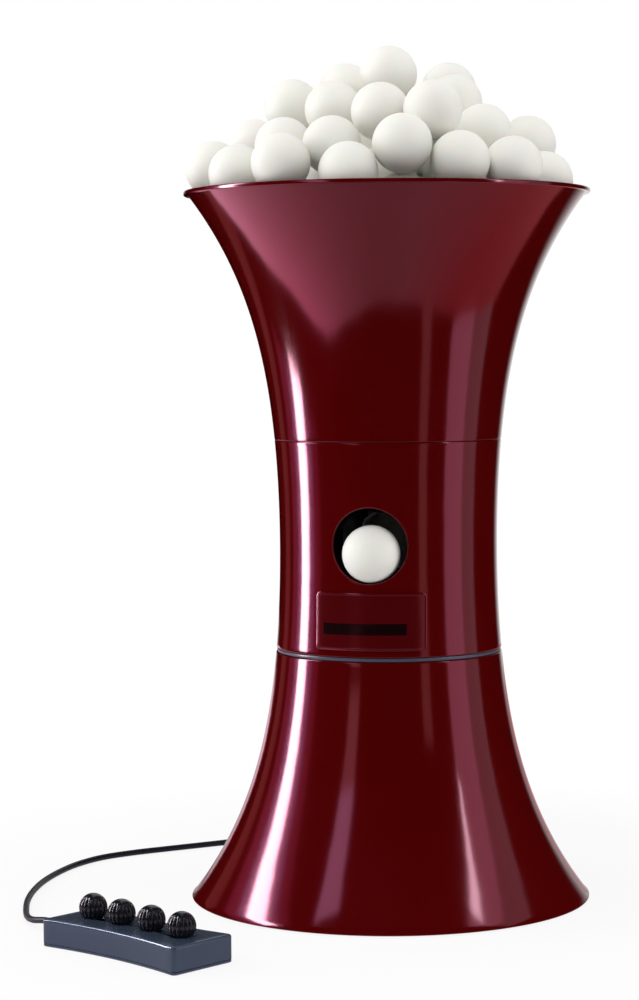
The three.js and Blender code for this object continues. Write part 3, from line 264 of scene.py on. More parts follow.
def shaped(name, points, faces, sharp=30):
    """A mesh object from points and faces: doubles are merged and the faces point outwards. It is smooth but
    for edges sharper than an angle."""
    mesh = bpy.data.meshes.new(name)
    faces = faces.tolist() if isinstance(faces, np.ndarray) else faces
    mesh.from_pydata(np.asarray(points, float).reshape(-1, 3).tolist(), [], faces)
    work = bmesh.new()
    work.from_mesh(mesh)
    bmesh.ops.remove_doubles(work, verts=work.verts, dist=SAME_POINT)
    bmesh.ops.dissolve_degenerate(work, edges=work.edges, dist=SAME_POINT / 10)
    bmesh.ops.recalc_face_normals(work, faces=work.faces)
    work.to_mesh(mesh)
    work.free()
    mesh.shade_smooth()
    mesh.set_sharp_from_angle(angle=math.radians(sharp))
    return linked(name, mesh)


def grid_faces(rows, columns, close_rows=False, close_columns=False, start=0):
    """Four-sided faces between neighbours of a grid of points, rows by columns, each way open or closed."""
    down = np.arange(rows if close_rows else rows - 1)
    along = np.arange(columns if close_columns else columns - 1)
    i, j = np.meshgrid(down, along, indexing="ij")
    below, beside = (i + 1) % rows, (j + 1) % columns
    corners = [i * columns + j, i * columns + beside, below * columns + beside, below * columns + j]
    return np.stack(corners, -1).reshape(-1, 4) + start


def looped(name, grid, sharp=30):
    """A mesh object from a grid of points whose rows and columns both run round to their start."""
    return shaped(name, grid, grid_faces(*grid.shape[:2], True, True), sharp)


def patchwork(name, grids):
    """One mesh object from several grids of points, each given with whether its columns run round."""
    faces, count = [], 0
    for grid, round_columns in grids:
        faces.append(grid_faces(*grid.shape[:2], False, round_columns, count))
        count += grid[..., 0].size
    return shaped(name, np.vstack([grid.reshape(-1, 3) for grid, _ in grids]), np.vstack(faces))


def rounded(corners, radii, steps=5):
    """A closed outline through 2-D corners, each one replaced by an arc of its radius between its sides."""
    corners = np.asarray(corners, float)
    radii = np.broadcast_to(radii, len(corners))
    outline = []
    for i, corner in enumerate(corners):
        before, after = corners[i - 1] - corner, corners[(i + 1) % len(corners)] - corner
        long_before, long_after = np.linalg.norm(before), np.linalg.norm(after)
        before, after = before / long_before, after / long_after
        half = math.acos(np.clip(before @ after, -1, 1)) / 2
        reach = min(radii[i] / math.tan(half), ARC_SHARE * long_before, ARC_SHARE * long_after)
        if reach < SAME_POINT / 10 or half > FLAT_CORNER:
            outline.append(corner)
            continue
        radius = reach * math.tan(half)
        centre = corner + (before + after) / np.linalg.norm(before + after) * radius / math.sin(half)
        first, last = corner + before * reach - centre, corner + after * reach - centre
        turn = math.atan2(first[0] * last[1] - first[1] * last[0], first @ last)
        angle = np.linspace(0, turn, steps)
        spun = np.outer(np.cos(angle), first) + np.outer(np.sin(angle), [-first[1], first[0]])
        outline.extend(centre + spun)
    return np.array(outline)


def turned_points(outline, sides):
    """Points at radius r and height h of each outline point, at even angles round the Z axis."""
    angle = np.arange(sides) * 2 * np.pi / sides
    radius, height = np.asarray(outline, float).T
    return np.stack([np.outer(radius, np.cos(angle)), np.outer(radius, np.sin(angle)),
                     np.repeat(height[:, None], sides, 1)], -1)


def turned(name, corners, radii=0, sides=128):
    """A closed outline of (radius, height) with rounded corners, turned about the Z axis."""
    return looped(name, turned_points(rounded(corners, radii), sides))


def turned_out(name, corners, radii, angle, height, sides=48):
    """A closed outline of (radius, reach), turned about a level line out of the tower's axis at an angle."""
    cosine, sine = math.cos(angle), math.sin(angle)
    stand = np.array([[0, -sine, cosine], [0, cosine, sine], [-1, 0, 0]])
    return looped(name, turned_points(rounded(corners, radii), sides) @ stand.T + (0, 0, height))


def spin(angle):
    """The matrix that turns X and Y about the Z axis."""
    cosine, sine = math.cos(angle), math.sin(angle)
    return np.array([[cosine, -sine, 0], [sine, cosine, 0], [0, 0, 1]])


def carried(name, path, section):
    """A section of (side, up) offsets carried along a path: side is level, and up is square to both."""
    way = np.gradient(path, axis=0)
    way /= np.linalg.norm(way, axis=1)[:, None]
    side = np.cross(way, [0, 0, 1])
    side /= np.linalg.norm(side, axis=1)[:, None]
    up = np.cross(side, way)
    grid = path[:, None] + section[None, :, :1] * side[:, None] + section[None, :, 1:] * up[:, None]
    count = len(section)
    faces = grid_faces(len(path), count, False, True).tolist()
    faces += [list(range(count)), list(range((len(path) - 1) * count, len(path) * count))]
    return shaped(name, grid, faces, 40)


def ring_section(radius, sides=14):
    """A round section: radius times cosine and sine."""
    angle = np.arange(sides) * 2 * np.pi / sides
    return radius * np.stack([np.cos(angle), np.sin(angle)], -1)


def smooth_route(route, steps):
    """A centripetal Catmull-Rom curve through a route's points, with steps points to each stretch."""
    route = np.vstack([2 * route[0] - route[1], route, 2 * route[-1] - route[-2]])
    share = np.arange(steps)[:, None] / steps
    curve = []
    for p0, p1, p2, p3 in zip(route, route[1:], route[2:], route[3:]):
        t1 = np.linalg.norm(p1 - p0) ** 0.5
        t2 = t1 + np.linalg.norm(p2 - p1) ** 0.5
        t3 = t2 + np.linalg.norm(p3 - p2) ** 0.5
        t = t1 + (t2 - t1) * share

        def between(first, last, start, end):
            return first + (last - first) * (t - start) / (end - start)

        a1, a2, a3 = between(p0, p1, 0, t1), between(p1, p2, t1, t2), between(p2, p3, t2, t3)
        curve.append(between(between(a1, a2, 0, t2), between(a2, a3, t1, t3), t1, t2))
    return np.vstack([*curve, route[-2]])


def dressed(piece, body, material, slot, *nodes):
    """Gives a piece its material, lets it ride on a body, and hides the nodes that it stands for. The slot is
    not used.
    """
    piece.data.materials.clear()
    piece.data.materials.append(material)
    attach(piece, body)
    if nodes:
        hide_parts(*nodes)
    return piece


# Camera


def aim_camera():
    """Stands the camera at its place, with its own back, right and up as the columns of its matrix."""
    back = -np.array(CAMERA_AIM) / np.linalg.norm(CAMERA_AIM)
    right = np.cross(CAMERA_UP, back)
    right /= np.linalg.norm(right)
    camera = linked("camera", bpy.data.cameras.new("camera"))
    matrix = np.eye(4)
    matrix[:3, :3] = np.stack([right, np.cross(back, right), back], 1)
    matrix[:3, 3] = CAMERA_PLACE
    camera.matrix_world = mathutils.Matrix(matrix.tolist())
    camera.data.lens = CAMERA_LENS
    camera.data.sensor_width = CAMERA_SENSOR
    camera.data.clip_start = CAMERA_NEAREST
    bpy.context.scene.camera = camera


# Finishes: node groups that several materials use, then one function for each material


def feed(tree, socket, value):
    """Links a socket to another one, or sets its own value."""
    if isinstance(value, bpy.types.NodeSocket):
        tree.links.new(value, socket)
    else:
        socket.default_value = value


def put(tree, kind, **values):
    """A node of a kind. Values set its sockets by name, or its own settings where it has no such socket."""
    made = tree.nodes.new(kind)
    for name, value in values.items():
        socket = made.inputs.get(name.replace("_", " "))
        if socket is None:
            setattr(made, name, value)
        else:
            feed(tree, socket, value)
    return made


def new_group(name, inputs, *outputs):
    """An empty node group, with its own values in and its results out. Colours are four numbers, and the rest
    is one number."""
    group = bpy.data.node_groups.new(name, "ShaderNodeTree")
    for label, value in inputs.items():
        kind = "NodeSocketColor" if isinstance(value, tuple) else "NodeSocketFloat"
        socket = group.interface.new_socket(label.replace("_", " "), in_out="INPUT", socket_type=kind)
        socket.default_value = value
    for label in outputs:
        kind = "NodeSocketColor" if label == "Colour" else "NodeSocketFloat"
        group.interface.new_socket(label, in_out="OUTPUT", socket_type=kind)
    return group, group.nodes.new("NodeGroupInput").outputs, group.nodes.new("NodeGroupOutput").inputs


def math_node(tree, operation, first, second, clamp=False):
    made = put(tree, "ShaderNodeMath", operation=operation, use_clamp=clamp)
    feed(tree, made.inputs[0], first)
    feed(tree, made.inputs[1], second)
    return made.outputs[0]


def plus(tree, first, second, clamp=False):
    return math_node(tree, "ADD", first, second, clamp)


def times(tree, first, second):
    return math_node(tree, "MULTIPLY", first, second)


def less(tree, first, second):
    return math_node(tree, "SUBTRACT", first, second)


def ramp(tree, value, low, high, bottom=0.0, top=1.0):
    """A value's share of the way from low to high, as a number between bottom and top."""
    return put(tree, "ShaderNodeMapRange", Value=value, From_Min=low, From_Max=high, To_Min=bottom,
               To_Max=top).outputs[0]


def noise(tree, place, scale, detail):
    return put(tree, "ShaderNodeTexNoise", Vector=place, Scale=scale, Detail=detail).outputs[0]


def object_place(tree):
    return put(tree, "ShaderNodeTexCoord").outputs["Object"]


def reach_along(tree, place, way):
    """How far a place lies along a way, the dot product of the two."""
    made = put(tree, "ShaderNodeVectorMath", operation="DOT_PRODUCT")
    feed(tree, made.inputs[0], place)
    feed(tree, made.inputs[1], way)
    return made.outputs["Value"]


def mix_colour(tree, factor, first, second):
    made = put(tree, "ShaderNodeMix", data_type="RGBA")
    for place, value in ((0, factor), (6, first), (7, second)):
        feed(tree, made.inputs[place], value)
    return made.outputs[2]


def new_material(name):
    material = bpy.data.materials.new(name)
    material.use_nodes = True
    return material, material.node_tree


def cloudy_colour():
    """A colour that drifts a little darker and lighter over the surface, and a roughness drifting with it."""
    group, given, result = new_group("cloudy_colour", dict(
        Colour=MIDDLE_GREY, Drift=0.1, Size=20.0, Roughness=0.3, Roughness_Drift=0.05), "Colour", "Roughness")
    swing = less(group, noise(group, object_place(group), given["Size"], 4.0), 0.5)
    bright = plus(group, times(group, swing, given["Drift"]), 1.0)
    tone = put(group, "ShaderNodeVectorMath", operation="SCALE", Scale=bright)
    feed(group, tone.inputs[0], given["Colour"])
    rough = plus(group, times(group, swing, given["Roughness Drift"]), given["Roughness"], clamp=True)
    feed(group, result["Colour"], tone.outputs[0])
    feed(group, result["Roughness"], rough)
    return group


def fine_marks():
    """Hairlines and specks of dust: hairlines are the thin crests of a noise that is drawn out one way."""
    group, given, result = new_group("fine_marks", dict(
        Colour=MIDDLE_GREY, Roughness=0.3, Dust=0.05, Dust_Colour=(0.6, 0.58, 0.55, 1), Hairlines=0.1),
        "Colour", "Roughness", "Height")
    place = object_place(group)
    drawn = put(group, "ShaderNodeMapping", Vector=place, Scale=(1, 1, 0.06), Rotation=(0.5, 0.3, 0.2))
    crest = ramp(group, noise(group, drawn.outputs[0], 900.0, 2.0), 0.66, 0.74)
    crest = times(group, crest, given["Hairlines"])
    cells = put(group, "ShaderNodeTexVoronoi", Vector=place, Scale=420.0).outputs
    speck = ramp(group, cells["Distance"], 0.13, 0.05)
    rare = put(group, "ShaderNodeSeparateColor", Color=cells["Color"]).outputs[0]
    rare = math_node(group, "GREATER_THAN", rare, 0.8)
    dust = times(group, times(group, speck, rare), given["Dust"])
    rough = plus(group, given["Roughness"], times(group, crest, 0.3))
    feed(group, result["Colour"], mix_colour(group, dust, given["Colour"], given["Dust Colour"]))
    feed(group, result["Roughness"], plus(group, rough, times(group, dust, 0.5), clamp=True))
    feed(group, result["Height"], less(group, dust, crest))
    return group


def mould_skin():
    """The faint waves and the fine grain that a moulding takes from its tool, as a height."""
    group, given, result = new_group("mould_skin", dict(
        Wave_Size=60.0, Wave=1.0, Grain_Size=1500.0, Grain=0.2, Marks=0.0), "Height")
    place = object_place(group)
    wave = times(group, noise(group, place, given["Wave Size"], 1.0), given["Wave"])
    grain = times(group, noise(group, place, given["Grain Size"], 2.0), given["Grain"])
    feed(group, result["Height"], plus(group, plus(group, wave, grain), given["Marks"]))
    return group


GROUPS = {made.name: made for made in (cloudy_colour(), fine_marks(), mould_skin())}


def use_group(tree, name, **values):
    made = put(tree, "ShaderNodeGroup", node_tree=GROUPS[name])
    for label, value in values.items():
        feed(tree, made.inputs[label.replace("_", " ")], value)
    return made.outputs


def moulding(name, colour, roughness, drift=0.12, dust=0.05, hairlines=0.1, wave=1.0, wave_size=60.0,
             grain=0.2, grain_size=1500.0, bump=0.02, depth=0.001, **shader_values):
    """A material whose colour and roughness drift, with fine marks and a bump of a tool's waves and grain."""
    material, tree = new_material(name)
    shader = tree.nodes["Principled BSDF"]
    cloud = use_group(tree, "cloudy_colour", Colour=(*colour, 1), Drift=drift, Roughness=roughness,
                      Roughness_Drift=roughness * 0.5)
    marks = use_group(tree, "fine_marks", Colour=cloud["Colour"], Roughness=cloud["Roughness"], Dust=dust,
                      Hairlines=hairlines)
    skin = use_group(tree, "mould_skin", Wave=wave, Wave_Size=wave_size, Grain=grain, Grain_Size=grain_size,
                     Marks=marks["Height"])
    relief = put(tree, "ShaderNodeBump", Height=skin["Height"], Strength=bump, Distance=depth)
    shader_values |= {"Base Color": marks["Colour"], "Roughness": marks["Roughness"],
                      "Normal": relief.outputs["Normal"]}
    for label, value in shader_values.items():
        feed(tree, shader.inputs[label.replace("_", " ")], value)
    return material


def maroon_gloss(name="maroon_gloss", colour=(0.077, 0.0003, 0.0005), roughness=0.11):
    """A dark red gloss whose mirror image is red too, and white only where it is seen edge on."""
    return moulding(name, colour, roughness, drift=0.16, dust=0.03, hairlines=0.05, wave_size=38.0,
                    grain=0.03, bump=0.05, depth=0.002, Specular_IOR_Level=1.0,
                    Specular_Tint=(1, 0.37, 0.5, 1))


def ball_white():
    return moulding("ball_white", (0.88, 0.875, 0.82), 0.6, drift=0.05, dust=0.0, hairlines=0.0, wave=0.3,
                    wave_size=70.0, grain=1.0, grain_size=2600.0, bump=0.12, depth=0.0003,
                    Specular_IOR_Level=0.2, Subsurface_Weight=0.25, Subsurface_Scale=0.006)


def band_with_painted_sheen():
    # Black plastic whose colour is lifted to a blue-grey: a painted sheen
    return moulding("band_with_painted_sheen", (0.062, 0.06, 0.09), 0.3, dust=0.04, bump=0.03)


def nozzle_black():
    return moulding("nozzle_black", (0.004, 0.0025, 0.0025), 0.5, dust=0.02, bump=0.1,
                    Specular_IOR_Level=0.15)


def graphite_case():
    return moulding("graphite_case", (0.037, 0.05, 0.082), 0.18, hairlines=0.15, wave=0.6, grain=0.5,
                    grain_size=1800.0, bump=0.06, depth=0.0004, Specular_IOR_Level=0.8,
                    Specular_Tint=(0.6, 0.78, 1, 1))


def knob_gloss():
    return moulding("knob_gloss", (0.008, 0.009, 0.013), 0.16, dust=0.06, bump=0.03)


def cable_sheath():
    return moulding("cable_sheath", (0.006, 0.0075, 0.012), 0.42, dust=0.08, hairlines=0.0, grain=1.0,
                    grain_size=2200.0, bump=0.15, depth=0.0003, Specular_IOR_Level=0.35,
                    Specular_Tint=(0.7, 0.85, 1, 1))


def black_satin():
    return moulding("black_satin", (0.014, 0.014, 0.016), 0.35, dust=0.06, grain=0.8, bump=0.08, depth=0.0005)


def soft_rubber():
    return moulding("soft_rubber", (0.014, 0.014, 0.014), 0.75, dust=0.2, hairlines=0.0, grain=1.0,
                    grain_size=1400.0, bump=0.25, depth=0.0006)


def turned_steel():
    return moulding("turned_steel", (0.46, 0.47, 0.49), 0.32, drift=0.2, dust=0.04, hairlines=0.8, wave=0.2,
                    grain=1.0, grain_size=3000.0, bump=0.12, depth=0.0003, Metallic=1.0)


def off_white():
    return moulding("off_white", (0.68, 0.68, 0.64), 0.42, drift=0.08, dust=0.04, bump=0.06)


def board_green():
    return moulding("board_green", (0.012, 0.10, 0.035), 0.35, drift=0.3, bump=0.05)


def tyre_foam():
    return moulding("tyre_foam", (0.022, 0.02, 0.02), 0.85, drift=0.3, dust=0.15, hairlines=0.0, wave=0.5,
                    grain=2.0, grain_size=900.0, bump=0.5, depth=0.0008)


def plate_maroon():
    """The plate's own maroon, a shade duller than the shell, with a fine raised line inside its edge and one
    plain black bar in its lower part. The line's lighter red is a painted highlight, the light that its
    raised edge catches. Both come from distances on the flat plate, in X and Z."""
    material = maroon_gloss("plate_maroon", (0.068, 0.0008, 0.0016), 0.16)
    tree = material.node_tree
    ground = tree.nodes["Principled BSDF"].inputs["Base Color"]
    skin = tree.nodes["Principled BSDF"].inputs["Normal"].links[0].from_node.inputs["Height"]
    low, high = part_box("label_plate")
    spot = put(tree, "ShaderNodeSeparateXYZ", Vector=object_place(tree)).outputs

    def within(axis, middle, half):
        """How far a place lies inside a strip of the plate, from the strip's nearer edge."""
        return less(tree, half, math_node(tree, "ABSOLUTE", less(tree, spot[axis], middle), 0.0))

    def inside(half_width, middle, half_height, blur, shift=0.0):
        """1 within a rectangle of the plate and 0 outside it, over a short blur."""
        strips = within("X", shift, half_width), within("Z", middle, half_height)
        return ramp(tree, math_node(tree, "MINIMUM", *strips), -blur, blur)

    middle, half = (low.z + high.z) / 2, (high.z - low.z) / 2
    inset = PLATE_LINE_INSET + PLATE_LINE_WIDTH
    line = less(tree, inside(high.x - PLATE_LINE_INSET, middle, half - PLATE_LINE_INSET, PLATE_LINE_BLUR),
                inside(high.x - inset, middle, half - inset, PLATE_LINE_BLUR))
    bar = inside(PLATE_BAR_WIDTH / 2, low.z + PLATE_BAR_HEIGHT, PLATE_BAR_THICKNESS / 2, PLATE_BAR_BLUR,
                 PLATE_BAR_SHIFT)
    plain = ground.links[0].from_socket
    # Painted highlight: the raised line is mixed towards a lighter red
    lined = mix_colour(tree, times(tree, line, PLATE_LINE_SHARE), plain, PLATE_LINE_HIGHLIGHT_COLOUR)
    feed(tree, ground, mix_colour(tree, bar, lined, PLATE_BAR_COLOUR))
    feed(tree, skin, plus(tree, skin.links[0].from_socket, times(tree, line, PLATE_LINE_RELIEF)))
    return material


# The cable, from the gland behind the tower to the control box


def coil_way_out():
    """The level direction in which the cable leaves the coil, a quarter turn on from its last angle."""
    angle = math.radians(COIL_EXIT_ANGLE + 90)
    return np.array([math.cos(angle), math.sin(angle), 0])


def coil_route(steps):
    """Circles about a centre whose radius shrinks evenly to the inner one and grows again. The height climbs
    by a pitch, on a smooth step, in the half turn where the spiral turns back."""
    outer = COIL_INNER + COIL_PITCH * COIL_WHOLE_TURNS / 2
    share = np.linspace(0, 1, round(COIL_WHOLE_TURNS * steps) + 1)
    angle = share * COIL_WHOLE_TURNS * 2 * np.pi
    radius = COIL_INNER + (outer - COIL_INNER) * np.abs(2 * share - 1)
    climb = np.clip((share - 0.5) * COIL_WHOLE_TURNS * 2 + 0.5, 0, 1)
    height = COIL_LIFT + COIL_PITCH * climb * climb * (3 - 2 * climb)
    return np.stack([radius * np.cos(angle) - outer, radius * np.sin(angle) + COIL_CENTRE_Y, height], -1)


def box_point(along, across, height):
    """A point of the control box, from its own length, width and height to the frame."""
    return spin(BOX_TURN) @ (along, across, height) + (*BOX_CENTRE, 0)


def cable_route():
    """The cable's course: out of the gland and down, round the coil, then along the table to the box."""
    coil = coil_route(COIL_STEPS)
    gland_tip = bell_radius(GLAND_HEIGHT) + GLAND_OUTSIDE
    box_end = -BOX_LENGTH / 2 - BOX_GLAND_LENGTH
    on_table = [(-0.116, 0.190), (-0.138, 0.175), (-0.158, 0.158), (-0.178, 0.141), (-0.199, 0.123),
                (-0.220, 0.104), (-0.238, 0.082), (-0.249, 0.054), (-0.254, 0.022), (-0.255, -0.012),
                (-0.252, -0.046), (-0.246, -0.078), (-0.238, -0.106)]
    return np.vstack([
        (0, gland_tip, GLAND_HEIGHT),
        (0, gland_tip + CABLE_DIAMETER, GLAND_HEIGHT),
        (0, 0.170, 0.0134),
        (0, 0.180, 0.0084),
        (0, 0.190, 0.0045),
        (0, COIL_CENTRE_Y - 2 * CABLE_DIAMETER, COIL_LIFT),
        coil,
        coil[-1] + CABLE_DIAMETER * coil_way_out(),
        (-0.080, 0.217, 0.0052),
        (-0.097, 0.204, 0.003),
        *((x, y, CABLE_REST) for x, y in on_table),
        (-0.229, -0.131, 0.003),
        (-0.219, -0.149, 0.005),
        (-0.207, -0.1605, 0.0076),
        box_point(box_end - CABLE_DIAMETER, 0, BOX_CABLE_HEIGHT),
        box_point(box_end, 0, BOX_CABLE_HEIGHT),
    ])


def lay_cable(material, tie):
    """The cable as one round cord along its route. The tie that holds its coil is not used here."""
    path = smooth_route(cable_route(), ROUTE_STEPS)
    cable = carried("cable", path, ring_section(CABLE_DIAMETER / 2))
    dressed(cable, "base", material, "cable_black", "cable_tail", "cable_coil", "cable_run")


# Tower shells

FACE_ROWS = 90
ROUND_SIDES = 240
PATCH_ANGLE = math.radians(42)
PATCH_COLUMNS = 56
PATCH_ROWS = 26
PATCH_SPREAD = 1.3
BACK_COLUMNS = 150


def bell_face(foot, top, inward=0.0, rows=FACE_ROWS):
    """Points up a face of the tower's wall, as (radius, height)."""
    height = np.linspace(foot, top, rows)
    return np.stack([bell_radius(height) - inward, height], -1)


def edge_round(face, radius, at_top):
    """Bends the end of a face inwards by a quarter circle, as a moulded edge is."""
    radius_here, height = face[-1] if at_top else face[0]
    angle = np.linspace(0, np.pi / 2, 6)
    sign = 1 if at_top else -1
    arc = np.stack([radius_here - radius + radius * np.cos(angle),
                    height - sign * radius + sign * radius * np.sin(angle)], -1)
    keep = face[face[:, 1] < height - radius] if at_top else face[face[:, 1] > height + radius]
    return np.vstack([keep, arc]) if at_top else np.vstack([arc[::-1], keep])


def base_bell():
    """The lower bell: its face from foot to top with small round edges, and inside it the deck's ledge."""
    face = edge_round(edge_round(bell_face(SHELL_FOOT, BASE_TOP), SEAM_ROUND, True), SEAM_ROUND, False)
    ledge = BASE_LEDGE_HEIGHT
    inner = bell_radius(ledge) - SHELL_WALL
    inside = bell_face(SHELL_FOOT, ledge - LEDGE_DROP, SHELL_WALL)[::-1]
    step = [(bell_radius(BASE_TOP) - SHELL_WALL, BASE_TOP), (inner, ledge), (inner - LEDGE_REACH, ledge)]
    return looped("base_bell", turned_points(np.vstack([face, step, inside]), ROUND_SIDES))


def wall_point(angle, height, inward):
    """A point of the tower's wall: its radius less a depth, at an angle from the outlet and a height."""
    radius = bell_radius(height) - inward
    return np.stack([radius * np.sin(angle), -radius * np.cos(angle), height], -1)


def hole_point(turn, reach, inward):
    """A point of the wall round the outlet: reach away from the outlet's axis, at a turn round it."""
    height = OUTLET_HEIGHT + reach * np.cos(turn)
    angle = np.arcsin(reach * np.sin(turn) / (bell_radius(height) - inward))
    return angle, height


def middle_shell():
    """The waist between the seams. In front, rows run from the round hole's edge out to a rectangle in angle
    and height; the rest of the wall is a plain grid. The hole's edge and both seams are rounded."""
    half, foot, top = PATCH_ANGLE, HEAD_FOOT, HEAD_TOP
    edge = SEAM_ROUND * (1 - np.cos(np.linspace(0, np.pi / 2, 5)))
    upright = np.linspace(foot + SEAM_ROUND, top - SEAM_ROUND, PATCH_COLUMNS + 1)
    lower_lip, upper_lip = foot + edge, top - edge[::-1]
    heights = np.concatenate([lower_lip[:-1], upright, upper_lip[1:]])
    angles = np.linspace(-half, half, PATCH_COLUMNS + 1)
    low, high = upright[0], upright[-1]
    corners = np.array([(-half, high), (half, high), (half, low), (-half, low)])
    border = np.vstack([np.linspace(first, last, PATCH_COLUMNS + 1)[:-1]
                        for first, last in zip(corners, np.roll(corners, -1, 0))])
    turn = np.arctan2(border[:, 0] * WAIST_RADIUS, border[:, 1] - OUTLET_HEIGHT)

    def lip(height, inward):
        """Pulls the wall's last bit at either seam inwards, on a quarter circle."""
        near = np.clip(1 - np.minimum(height - foot, top - height) / SEAM_ROUND, 0, 1)
        return inward + SEAM_ROUND * (1 - np.sqrt(1 - near * near)) * (inward < SHELL_WALL / 2)

    def patch(inward):
        """The wall between the hole and the rectangle, in rows that are closer together near the hole."""
        angle0, height0 = hole_point(turn, OUTLET_RADIUS + OUTLET_ROUND, inward)
        share = np.linspace(0, 1, PATCH_ROWS)[:, None] ** PATCH_SPREAD
        angle = angle0 + (border[:, 0] - angle0) * share
        height = height0 + (border[:, 1] - height0) * share
        return wall_point(angle, height, lip(height, inward))

    round_steps = np.linspace(0, np.pi / 2, 6)
    reach = OUTLET_RADIUS + OUTLET_ROUND * (1 - np.sin(round_steps))
    depth = OUTLET_ROUND * (1 - np.cos(round_steps))
    rim = [wall_point(*hole_point(turn, r, d), d) for r, d in zip(reach, depth)]
    inner_rim = wall_point(*hole_point(turn, OUTLET_RADIUS, SHELL_WALL), SHELL_WALL)
    grids = [(np.concatenate([patch(0.0)[::-1], rim[1:], inner_rim[None], patch(SHELL_WALL)]), True)]
    round_angles = np.linspace(half, 2 * np.pi - half, BACK_COLUMNS + 1)
    for inward in (0.0, SHELL_WALL):
        for along, up in ((round_angles, heights), (angles, lower_lip), (angles, upper_lip)):
            angle, height = np.meshgrid(along, up, indexing="ij")
            grids.append((wall_point(angle, height, lip(height, inward)), False))
    whole_turn = np.concatenate([angles[:-1], round_angles[:-1]])
    for height in (foot, top):
        level = np.full_like(whole_turn, height)
        ring = [wall_point(whole_turn, level, lip(level, inward)) for inward in (0.0, SHELL_WALL)]
        grids.append((np.stack(ring), True))
    return patchwork("middle_bell", grids)


def glide_band(material):
    """The black ring that the head turns on: it lies a little inside the tower's face, between the seams."""
    outer, inner = bell_radius(BASE_TOP) - BAND_INSET, bell_radius(BASE_TOP) - SHELL_WALL - SEAT_GAP
    foot, top = BASE_TOP + SEAT_GAP, HEAD_FOOT - SEAT_GAP
    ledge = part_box("glide_ring")[0].z
    corners = [(RING_BORE, ledge), (inner, ledge), (inner, foot), (outer, foot), (outer, top),
               (RING_BORE, top)]
    band = turned("black_band", corners, [0.0005, 0.0005, 0, 0.0008, 0.0008, 0.0005], ROUND_SIDES)
    return dressed(band, "base", material, "black_plastic", "glide_ring")


def joined(name, *pieces):
    """One object from several: their meshes are put together, and the pieces are removed."""
    work = bmesh.new()
    for piece in pieces:
        work.from_mesh(piece.data)
    mesh = bpy.data.meshes.new(name)
    work.to_mesh(mesh)
    work.free()
    for piece in pieces:
        bpy.data.objects.remove(piece)
    return linked(name, mesh)


def bored(piece, cutters):
    """Cuts the cutters' volumes out of a piece, with crisp edges at the holes, and removes the cutters."""
    for cutter in cutters:
        cut = piece.modifiers.new("cut", "BOOLEAN")
        cut.operation, cut.solver, cut.object = "DIFFERENCE", "EXACT", cutter
    seen = bpy.context.evaluated_depsgraph_get()
    mesh = bpy.data.meshes.new_from_object(piece.evaluated_get(seen))
    mesh.set_sharp_from_angle(angle=math.radians(30))
    piece.modifiers.clear()
    piece.data = mesh
    for cutter in cutters:
        bpy.data.objects.remove(cutter)
    return piece


def base_shell(material):
    """The lower bell with the two holes at its back, for the cable's gland and for the supply inlet."""
    wall = bell_radius(GLAND_HEIGHT)
    holes = []
    for name, radius, depth, angle, height in (
            ("gland_hole", GLAND_RADIUS, GLAND_HOLE_DEPTH, math.pi / 2, GLAND_HEIGHT),
            ("socket_hole", SOCKET_RADIUS + SEAT_GAP, SOCKET_HOLE_DEPTH, SOCKET_ANGLE, SOCKET_HEIGHT)):
        back, front = wall - depth, wall + HOLE_OVERRUN
        corners = [(0, back), (radius, back), (radius, front), (0, front)]
        holes.append(turned_out(name, corners, 0, angle, height))
    return dressed(bored(base_bell(), holes), "base", material, "red_shell", "base_shell")


def head_shell(material):
    """The waist with its spigot, which holds the hopper, and the shelf that stands on the head's floor."""
    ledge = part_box("head_floor")[1].z
    seat = bell_radius(HEAD_TOP) - SHELL_WALL - SEAT_GAP
    spigot_foot, spigot_top = HEAD_TOP - ROOT_HEIGHT, HEAD_TOP + SPIGOT_HEIGHT
    root = bell_radius(spigot_foot) - 1.5 * SHELL_WALL
    spigot = turned("spigot", [(seat - SPIGOT_WALL, spigot_foot), (root, spigot_foot), (seat, HEAD_TOP),
                               (seat, spigot_top), (seat - SPIGOT_WALL, spigot_top)], RING_ROUND, ROUND_SIDES)
    wall = bell_radius(ledge) - 1.5 * SHELL_WALL
    shelf = turned("shelf", [(wall - LEDGE_REACH, ledge), (wall, ledge), (wall, ledge + LEDGE_DROP)],
                   RING_ROUND, ROUND_SIDES)
    shell = joined("middle_bell", middle_shell(), spigot, shelf)
    return dressed(shell, "head", material, "red_shell", "mid_shell")


def hopper(material):
    """The upper bell: its face, a thin lip outside the rim, and the inner face down to the seam."""
    rim = bell_radius(TOWER_HEIGHT) + LIP_REACH
    lip_foot = TOWER_HEIGHT - LIP_HEIGHT
    face = edge_round(bell_face(HOPPER_FOOT, lip_foot), SEAM_ROUND, False)
    lip = rounded([(rim - 2 * LIP_REACH, lip_foot), (rim, lip_foot), (rim, TOWER_HEIGHT),
                   (rim - LIP_REACH - SHELL_WALL, TOWER_HEIGHT)], LIP_ROUNDS, 6)
    inside = bell_face(HOPPER_FOOT, lip_foot, SHELL_WALL)[::-1]
    bell = looped("hopper_bell", turned_points(np.vstack([face, lip[1:], inside]), ROUND_SIDES))
    return dressed(bell, "head", material, "red_shell", "hopper_shell")


# What shows at the outlet


